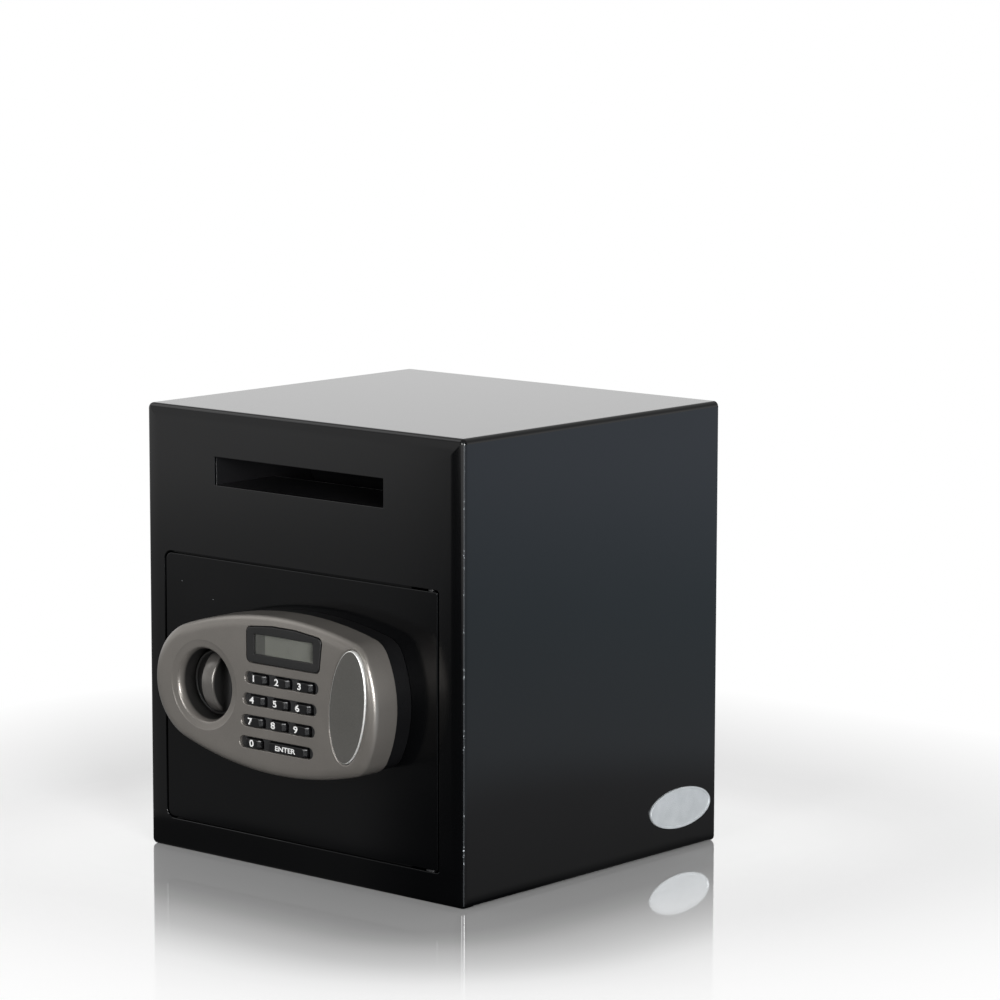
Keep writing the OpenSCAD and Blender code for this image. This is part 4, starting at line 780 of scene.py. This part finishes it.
# the display's frame has a straight foot, a right side that flares outwards and an arched top
bezel_lo, bezel_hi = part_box("display_bezel")
window_lo, window_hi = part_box("display_window")
bezel_w, bezel_h, flare, right_drop, crown = 68 * MM, 24.4 * MM, 3 * MM, 0.6 * MM, 5.4 * MM
corner_radii = np.array((4, 4, 203, 4, 4)) * MM
bezel_foot = bezel_lo.z + 0.8 * MM
bezel_top = bezel_foot + bezel_h
bezel_mid = (window_lo.x + window_hi.x) / 2
bezel_left, bezel_right = bezel_mid - bezel_w / 2, bezel_mid + bezel_w / 2
crown_x = (bezel_left + bezel_right + flare) / 2
bezel_corners = [(bezel_right, bezel_foot), (bezel_right + flare, bezel_top - right_drop),
                 (crown_x, bezel_top + crown), (bezel_left, bezel_top), (bezel_left, bezel_foot)]
bezel = arc_loop(rounded_arcs(bezel_corners, corner_radii), 9.0)

housing = Shell()
# rows of points inside the outline carry the face down, closest together where it is steepest
turns = np.radians(np.linspace(0, 90, 13))
insets = soft_w * (1 - np.sin(turns) ** (2 / soft_n))
points, normals = panel
band = np.concatenate([points - d * normals for d in insets[:-1]])
row_edge, seam_edge, pocket_lip, bezel_gap = 0.5 * MM, 0.4 * MM, 1.0 * MM, 0.55 * MM
inner_y = face_y + wall
openings = [(*cup, dish[0][0] * MM), (*pocket, pocket_lip), (*bezel, bezel_gap)]
openings += [(*loop, row_edge) for loop in row_loops]
housing.fill([(*panel, 0)] + openings, lambda flat: face_y + edge_drop(flat), between=band)
housing.rim(panel, [(0, face_y + soft_d), (0, (face_y + soft_d + seam_y) / 2)]
            + fillet(0, seam_y, seam_edge, (-1, -1), 3)[::-1] + [(-wall, seam_y), (-wall, inner_y + 3 * MM),
            (-wall - 1 * MM, inner_y + 1 * MM), (-wall - 3 * MM, inner_y)])
housing.rim(cup, [(o * MM, face_y + d * MM) for o, d in dish]
            + [(0, cup_y - 1 * MM), (-0.3 * MM, cup_y - 0.3 * MM), (-1 * MM, cup_y)])
housing.fill([(*cup, -1 * MM), (*spindle_hole, 0)], cup_y)
housing.rim(spindle_hole, [(0, cup_y), (0, seam_y)])
housing.fill([(*cup, wall), (*spindle_hole, 0)], seam_y)
housing.rim(cup, [(wall, seam_y), (wall, inner_y)])
lip_y = face_y + edge_drop(pocket[0] + pocket_lip * pocket[1])
housing.rim(pocket, [(o, lip_y + d) for o, d in fillet(0, 0, pocket_lip, (1, 1), 6)] + [(0, pocket_y)])
housing.fill([(*pocket, 0), (*barrel_hole, 0)], pocket_y)
housing.rim(barrel_hole, [(0, pocket_y), (0, pocket_y + wall)])
housing.fill([(*pocket, wall), (*barrel_hole, 0)], pocket_y + wall)
housing.rim(pocket, [(wall, pocket_y + wall), (wall, inner_y)])
housing.rim(bezel, [(bezel_gap, face_y), (bezel_gap, inner_y)])
for loop in row_loops:
    housing.rim(loop, fillet(0, face_y, row_edge, (1, 1), 4) + [(0, inner_y)])
housing.fill([(*panel, -wall - 3 * MM), (*cup, wall), (*pocket, wall), (*bezel, bezel_gap)]
             + [(*loop, 0) for loop in row_loops], inner_y)


def metallic_paint(name, dark, light, rough, metallic=0.6, zone=None):
    """Sprayed silver: a base with fine flakes that twinkle, under a satin lacquer. A zone has a
    mask as a function of the place, and its own colour, metallic share and roughness."""
    material, add, spot = new_material(name)
    spark = add("ShaderNodeSeparateColor", {0: cells(add, spot, 5200.0)["Color"]}).outputs[0]
    broad = noise(add, spot, 30.0, 3.0)
    colour = blend_colours(add, reshape(add, broad, 0.3, 0.7), (*dark, 1), (*light, 1))
    colour = blend_colours(add, maths(add, "MULTIPLY", spark, 0.05), colour, (0.9, 0.88, 0.84, 1))
    finish = reshape(add, broad, 0.3, 0.7, rough - 0.02, rough + 0.03)
    if zone:
        mask_of, zone_colour, zone_metallic, zone_rough = zone
        mask = mask_of(add, spot)
        colour = blend_colours(add, mask, colour, (*zone_colour, 1))
        metallic = reshape(add, mask, 0, 1, metallic, zone_metallic)
        finish = maths(add, "ADD", finish, reshape(add, mask, 0, 1, 0, zone_rough - rough))
    show_principled(add, {"Base Color": colour, "Metallic": metallic, "Roughness": finish,
                          "Normal": bumps(add, noise(add, spot, 1100.0, 2.0), 0.4, 0.012 * MM)})
    return material


def cup_shade(add, spot):
    """Painted shade: the silver darkens down the cup's wall, and the cup's floor is painted near black,
    where shade falls.
    """
    shade_from, black_from, shade_share = face_y + 3 * MM, face_y + 7 * MM, 0.97
    deep = reshape(add, part_of(add, spot, "Y"), shade_from, black_from, 0, shade_share)
    axis = vectors(add, "MULTIPLY", vectors(add, "SUBTRACT", spot, (knob_x, 0, panel_z)), (1, 0, 1))
    return maths(add, "MULTIPLY", deep, maths(add, "LESS_THAN", length_of(add, axis), cup_r + 0.5 * MM))


# a zone of painted shade, near black, has this colour, metallic share and roughness
painted_shade_black = (0.003, 0.003, 0.003), 0.0, 0.5
silver = metallic_paint("silver_paint", (0.197, 0.183, 0.167), (0.217, 0.202, 0.184), 0.30,
                        zone=(cup_shade, *painted_shade_black))
settle(housing.piece("lock_housing", silver), "lock_housing")

# Display. A black frame with an arched top snaps into the housing, where a thin gap stays round
# it. It holds a clear window over the display's module, whose film is darker at its left end.
bezel_black = grained("bezel_black", (0.010, 0.010, 0.010), (0.014, 0.014, 0.014), 0.0, 0.38, 900.0,
                      height=0.008 * MM, spread=0.03)
# the pane's opening, from the window's box by the rim that overlaps it, shifted up and to the right
window_rim, pane_left, pane_right, pane_up, pane_r = 1.4 * MM, 0.7 * MM, 1.2 * MM, 0.5 * MM, 0.6 * MM
pane = box_loop(window_lo.x + window_rim + pane_left, window_lo.z + window_rim + pane_up,
                window_hi.x - window_rim + pane_right, window_hi.z - window_rim + pane_up, pane_r, 30)
bezel_front, bezel_back = bezel_lo.y, bezel_hi.y
side_gap, face_edge, back_lip = 0.4 * MM, 0.5 * MM, 1.6 * MM
surround = Shell()
surround.rim(bezel, [(-side_gap, inner_y)] + fillet(-side_gap, bezel_front, face_edge, (-1, 1))[::-1])
surround.fill([(*bezel, -side_gap - face_edge), (*pane, face_edge)], bezel_front)
surround.rim(pane, [(face_edge, bezel_front), (0.15 * MM, bezel_front + 0.15 * MM),
                    (0, bezel_front + face_edge), (0, window_lo.y), (window_rim, window_lo.y),
                    (window_rim, bezel_back)])
surround.rim(bezel, [(-side_gap, inner_y), (back_lip, inner_y), (back_lip, bezel_back)])
surround.fill([(*bezel, back_lip), (*pane, window_rim)], bezel_back)
settle(surround.piece("display_bezel", bezel_black), "display_bezel")

# hazy clear resin, which lets light pass straight through to the module below it
glass, add, spot = new_material("window_glass")
hazy = add("ShaderNodeBsdfPrincipled", {
    "Base Color": (0.93, 0.95, 0.92, 1), "Transmission Weight": 1.0, "IOR": 1.25,
    "Roughness": reshape(add, noise(add, spot, 60.0, 4.0), 0.3, 0.8, 0.02, 0.12)})
clear = add("ShaderNodeBsdfTransparent")
show(add, add("ShaderNodeMixShader", {
    0: add("ShaderNodeLightPath").outputs["Is Shadow Ray"], 1: hazy.outputs[0], 2: clear.outputs[0]}))
dressed("display_window", glass, 0.15 * MM)

screen, add, spot = new_material("display_film")
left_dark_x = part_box("display_module")[0].x + 10.2 * MM
left_dark = reshape(add, part_of(add, spot, "X"), left_dark_x, left_dark_x + 0.4 * MM, 1.0, 0.0)
grime = noise(add, spot, 70.0, 4.0)
shade = blend_colours(add, grime, (0.150, 0.152, 0.138, 1), (0.175, 0.176, 0.160, 1))
show_principled(add, {"Base Color": blend_colours(add, left_dark, shade, (0.085, 0.085, 0.080, 1)),
                      "Roughness": reshape(add, grime, 0.3, 0.7, 0.45, 0.6)})
dressed("display_module", screen, 0.2 * MM)

# Keypad. Gloss black keys stand in four slots over a black frame, a rubber mat and the board.
# Their digits are printed in white, and the wide key has a plain word for its use.
dressed("key_frame", black_resin, 0.15 * MM)
repaint("key_mat", grained("mat_rubber", (0.020, 0.020, 0.020), (0.028, 0.028, 0.028), 0.0, 0.75, 500.0))
repaint("circuit_board", grained("board_mask", (0.010, 0.075, 0.035), (0.016, 0.10, 0.045), 0.0, 0.35, 220.0,
                                 coat=0.3))
key_black = grained("key_black", (0.0035, 0.0035, 0.0040), (0.0050, 0.0050, 0.0055), 0.0, 0.30, 500.0,
                    height=0.004 * MM, ior=1.4, coat=0.2, spread=0.03)
ink, add, spot = new_material("white_ink")
show_principled(add, {"Base Color": blend_colours(add, noise(add, spot, 2600.0, 2.0), (0.62, 0.62, 0.61, 1),
                                                  (0.80, 0.80, 0.79, 1)), "Roughness": 0.45})
# a key is set in from its solid by a lift at the foot and by a shorter right end
key_r, key_lift, key_short, key_flange, flange_t = 2 * MM, 0.8 * MM, 1.5 * MM, 1 * MM, 1 * MM
# its outlines from the face down: insets at the two ends and at the long sides, depth below the
# face, and corner radius
key_levels = np.array([(2.35, .75, 0, .8), (2.1, .5, .08, .95), (1.85, .3, .34, 1.1), (.8, .05, 1.68, 1.5),
                       (.3, 0, 2.15, 1.6), (0, 0, 2.6, 1.7)]) * MM


def key_piece(node):
    """One key: a flat face with sloped ends, over the flange that keeps it behind the frame."""
    lo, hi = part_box(node)
    x0, z0 = lo.x + key_flange, lo.z + key_flange + key_lift
    x1, z1 = hi.x - key_flange - key_short, hi.z - key_flange
    flange_y = hi.y - flange_t
    levels = [(ends, sides, lo.y + down, r) for ends, sides, down, r in key_levels]
    levels += [(0, 0, flange_y, key_r)] + [(-key_flange, -key_flange, y, key_r) for y in (flange_y, hi.y)]
    rows = []
    for ends, sides, y, r in levels:
        ring, _ = box_loop(x0 + ends, z0 + sides, x1 - ends, z1 - sides, r)
        rows.append(np.stack((ring[:, 0], np.full(len(ring), y), ring[:, 1]), 1))
    key = Shell()
    key.grid(np.stack(rows))
    for row in (rows[0], rows[-1]):
        key.fill([(row[:, [0, 2]], 0 * row[:, [0, 2]], 0)], row[0, 1])
    settle(key.piece(node + "_cap", key_black), node)


def legend(node, words, size, left, down, bold):
    """Printed words on a key, as a thin film that is half sunk in its face, with the text's
    outline grown by bold. They are centred left of the middle of the key's solid and below it
    by the given lengths."""
    lo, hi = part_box(node)
    text = bpy.data.curves.new(node + "_text", "FONT")
    text.body, text.size = words, size
    text.align_x, text.align_y = "CENTER", "CENTER"
    text.extrude, text.offset = film_t / 2, bold
    draft = bpy.data.objects.new(node + "_draft", text)
    flat = bpy.data.meshes.new_from_object(draft)
    points = np.empty(len(flat.vertices) * 3)
    flat.vertices.foreach_get("co", points)
    points = points.reshape(-1, 3)
    middle = (points.min(0) + points.max(0)) / 2
    x = wide * (points[:, 0] - middle[0]) + (lo.x + hi.x) / 2 - left
    z = points[:, 1] - middle[1] + (lo.z + hi.z) / 2 - down
    faces = [tuple(face.vertices) for face in flat.polygons]
    print_y = lo.y - points[:, 2]
    bpy.data.objects.remove(draft)
    piece = mesh_piece(node + "_legend", np.stack((x, print_y, z), 1), faces, ink)
    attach(piece, body_of[node])


# the film's thickness, how much the letters are widened, and how far left of the middle of its
# key's solid each digit stands
film_t, wide = 0.04 * MM, 1.3
digit_left = dict.fromkeys("124578", 3.7 * MM) | dict.fromkeys("369", 4.2 * MM) | {"0": 0.6 * MM}
for digit in "1234567890":
    key_piece("key_" + digit)
    legend("key_" + digit, digit, 6.4 * MM, digit_left[digit], -0.7 * MM, 0.16 * MM)
key_piece("key_start")
legend("key_start", "ENTER", 4.9 * MM, 1.3 * MM, -0.4 * MM, 0.12 * MM)

# Key lock. A plain oval cover, painted and then cut bright round its edge, pulls out of its
# pocket in the housing and uncovers the barrel, in which a key turns the plug.
plated = grained("plated_brass", (0.55, 0.53, 0.49), (0.64, 0.62, 0.58), 1.0, 0.22, 600.0)
repaint("lock_barrel", plated)
repaint("key_plug", plated)


def cut_rim(add, spot):
    """The cover's edge is cut bright from just below its face."""
    return reshape(add, part_of(add, spot, "Y"), cover_lo.y + 0.03 * MM, cover_lo.y + 0.10 * MM)


cover_paint = metallic_paint("cover_paint", (0.072, 0.070, 0.064), (0.080, 0.077, 0.071), 0.38, 0.3,
                             zone=(cut_rim, (0.80, 0.80, 0.78), 0.6, 0.38))
oval = oval_loop(cover_x, cover_z, oval_a, oval_b, lean)
rim_r, cover_t = 1.1 * MM, 1.6 * MM
lid = Shell()
lid.rim(oval, [(-cover_t, cover_lo.y + cover_t), (-cover_t, cover_hi.y), (0, cover_hi.y)]
        + fillet(0, cover_lo.y, rim_r, (-1, 1), 8)[::-1])
lid.fill([(*oval, -rim_r)], cover_lo.y)
lid.fill([(*oval, -cover_t)], cover_lo.y + cover_t)
settle(lid.piece("override_cover", cover_paint, smooth_to=30), "override_cover")

# Knob. It is moulded with a domed crown and two ball-nosed hollows, which leave a bar between
# them for finger and thumb, and sits on its spindle inside the cup.
knob_r, knob_back, rim_y, rim_edge = 23 * MM, knob_hi.y, -161.9 * MM, 0.7 * MM
crown_r, crown_foot = 24.375 * MM, 21 * MM
crown_y = knob_lo.y + crown_r
grip_half, hollow_r, hollow_reach = 5.3 * MM, 5 * MM, crown_foot + 0.25 * MM
hollow_floor = rim_y + 4 * MM
hollow_y = hollow_floor - hollow_r
soften = 0.8 * MM
middle = np.array((knob_x, panel_z))


def knob_top(flat):
    """Depth of the knob's front: the crown's sphere c - sqrt(R^2 - s^2) or the flat rim,
    whichever stands further out, with a soft change between them."""
    s = np.linalg.norm(flat - middle, axis=1)
    ball = crown_y - np.sqrt(np.maximum(crown_r ** 2 - s ** 2, 1e-12))
    soft = 0.35 * MM
    return rim_y - soft * np.logaddexp((rim_y - ball) / soft, 0)


def hollow_outline(side, inward):
    """Outline of a hollow, moved inwards by a distance for each of its points: the arc of the
    circle R - d beyond the line x = g + d, and that line between the arc's ends."""
    n = len(inward) // 2
    near, far = grip_half + inward, hollow_reach - inward
    end = np.arccos(near / far)
    turn = end[:n] * np.linspace(-1, 1, n, endpoint=False)
    arc = far[:n, None] * np.stack((np.cos(turn), np.sin(turn)), 1)
    fall = far[n:] * np.sin(end[n:]) * np.linspace(1, -1, n, endpoint=False)
    points = np.concatenate((arc, np.stack((near[n:], fall), 1)))
    return middle + points * (side, 1)


def hollow_rows(side):
    """The outline where a hollow meets the crown, and its rows of points from there to its
    floor. At a distance d inside its wall the bottom edge lies at the depth
    hollow_y + sqrt(r^2 - (r - d)^2), and the meeting distance is found by halving."""
    n = 96
    low, high = np.zeros(n), np.full(n, 0.98 * hollow_r)
    for _ in range(30):
        trial = (low + high) / 2
        bottom_y = hollow_y + np.sqrt(hollow_r ** 2 - (hollow_r - trial) ** 2)
        above = bottom_y < knob_top(hollow_outline(side, trial))
        low, high = np.where(above, trial, low), np.where(above, high, trial)
    meet = np.where(hollow_y >= knob_top(hollow_outline(side, 0 * low)), 0, high)
    corner, outer = hollow_outline(side, meet), hollow_outline(side, meet - soften)
    y_corner, y_outer = knob_top(corner), knob_top(outer)
    sunk = np.clip((y_corner + soften - hollow_y) / hollow_r, 0, 0.97)
    inner = hollow_outline(side, np.maximum(hollow_r * (1 - np.sqrt(1 - sunk ** 2)), meet))
    rows = []
    for t in np.linspace(0, 1, 6):
        flat = (1 - t) ** 2 * outer + 2 * t * (1 - t) * corner + t * t * inner
        y = (1 - t) ** 2 * y_outer + 2 * t * (1 - t) * y_corner + t * t * (y_corner + soften)
        rows.append(np.stack((flat[:, 0], y, flat[:, 1]), 1))
    start = np.arcsin(sunk)
    for t in np.linspace(0, 1, 10):
        a = start + (np.pi / 2 - start) * t
        flat = hollow_outline(side, hollow_r * (1 - np.cos(a)))
        rows.append(np.stack((flat[:, 0], hollow_y + hollow_r * np.sin(a), flat[:, 1]), 1))
    bottom = hollow_outline(side, np.full(n, hollow_r))
    return (outer, np.zeros((n, 2)), 0), (bottom, np.zeros((n, 2)), 0), np.stack(rows)


knob = Shell()
knob_rim = ring_loop(knob_x, panel_z, knob_r, 120)
hub_r, hub_y, foot_edge = 4.05 * MM, rim_y + 2 * MM, 0.5 * MM
hub = ring_loop(knob_x, panel_z, hub_r, 48)
meetings = []
for side in (-1, 1):
    meeting, bottom, rows = hollow_rows(side)
    meetings.append(meeting)
    knob.grid(rows)
    knob.fill([bottom], hollow_floor)
# points that carry the crown lie on rings, in mm, which are close where it meets the flat rim
ring_radii = [0.01, *np.arange(1.5, 18.1, 1.5), 19, 19.8, 20.4, 20.8, 21.1, 21.4, 21.8]
rings = [ring_loop(knob_x, panel_z, r * MM, max(6, int(r * 5)))[0] for r in ring_radii]
knob.fill([(*knob_rim, -rim_edge), *meetings], knob_top, between=np.concatenate(rings))
knob.rim(knob_rim, fillet(0, rim_y, rim_edge, (-1, 1), 5)
         + [(0, knob_back - foot_edge), (-foot_edge, knob_back)])
knob.fill([(*knob_rim, -foot_edge), (*hub, 0)], knob_back)
knob.rim(hub, [(0, knob_back), (0, hub_y)])
knob.fill([(*hub, 0)], hub_y)


def knob_shade(add, spot):
    """Painted shade. The crown keeps the silver, while the hollows, up to their right ends, and the sides
    towards the knob's flat rim darken to near black, where shade falls."""
    shade_share = 0.97
    place = vectors(add, "SUBTRACT", spot, (knob_x, crown_y, panel_z))
    sunk = reshape(add, length_of(add, place), crown_r - 2.0 * MM, crown_r - 0.5 * MM, shade_share, 0)
    sunk = maths(add, "MULTIPLY", sunk, reshape(add, part_of(add, place, "X"), 10 * MM, 14 * MM, 1, 0))
    low = reshape(add, part_of(add, spot, "Y"), rim_y - 4.5 * MM, rim_y - 1 * MM, 0, shade_share)
    return maths(add, "MAXIMUM", sunk, low)


# the knob's silver is a darker copy of the housing's, a painted shade for its place deep in the cup
shaded_knob_paint = metallic_paint("shaded_knob_paint", (0.150, 0.142, 0.133), (0.170, 0.161, 0.151), 0.30,
                            zone=(knob_shade, *painted_shade_black))
settle(knob.piece("knob", shaded_knob_paint, smooth_to=50), "knob")
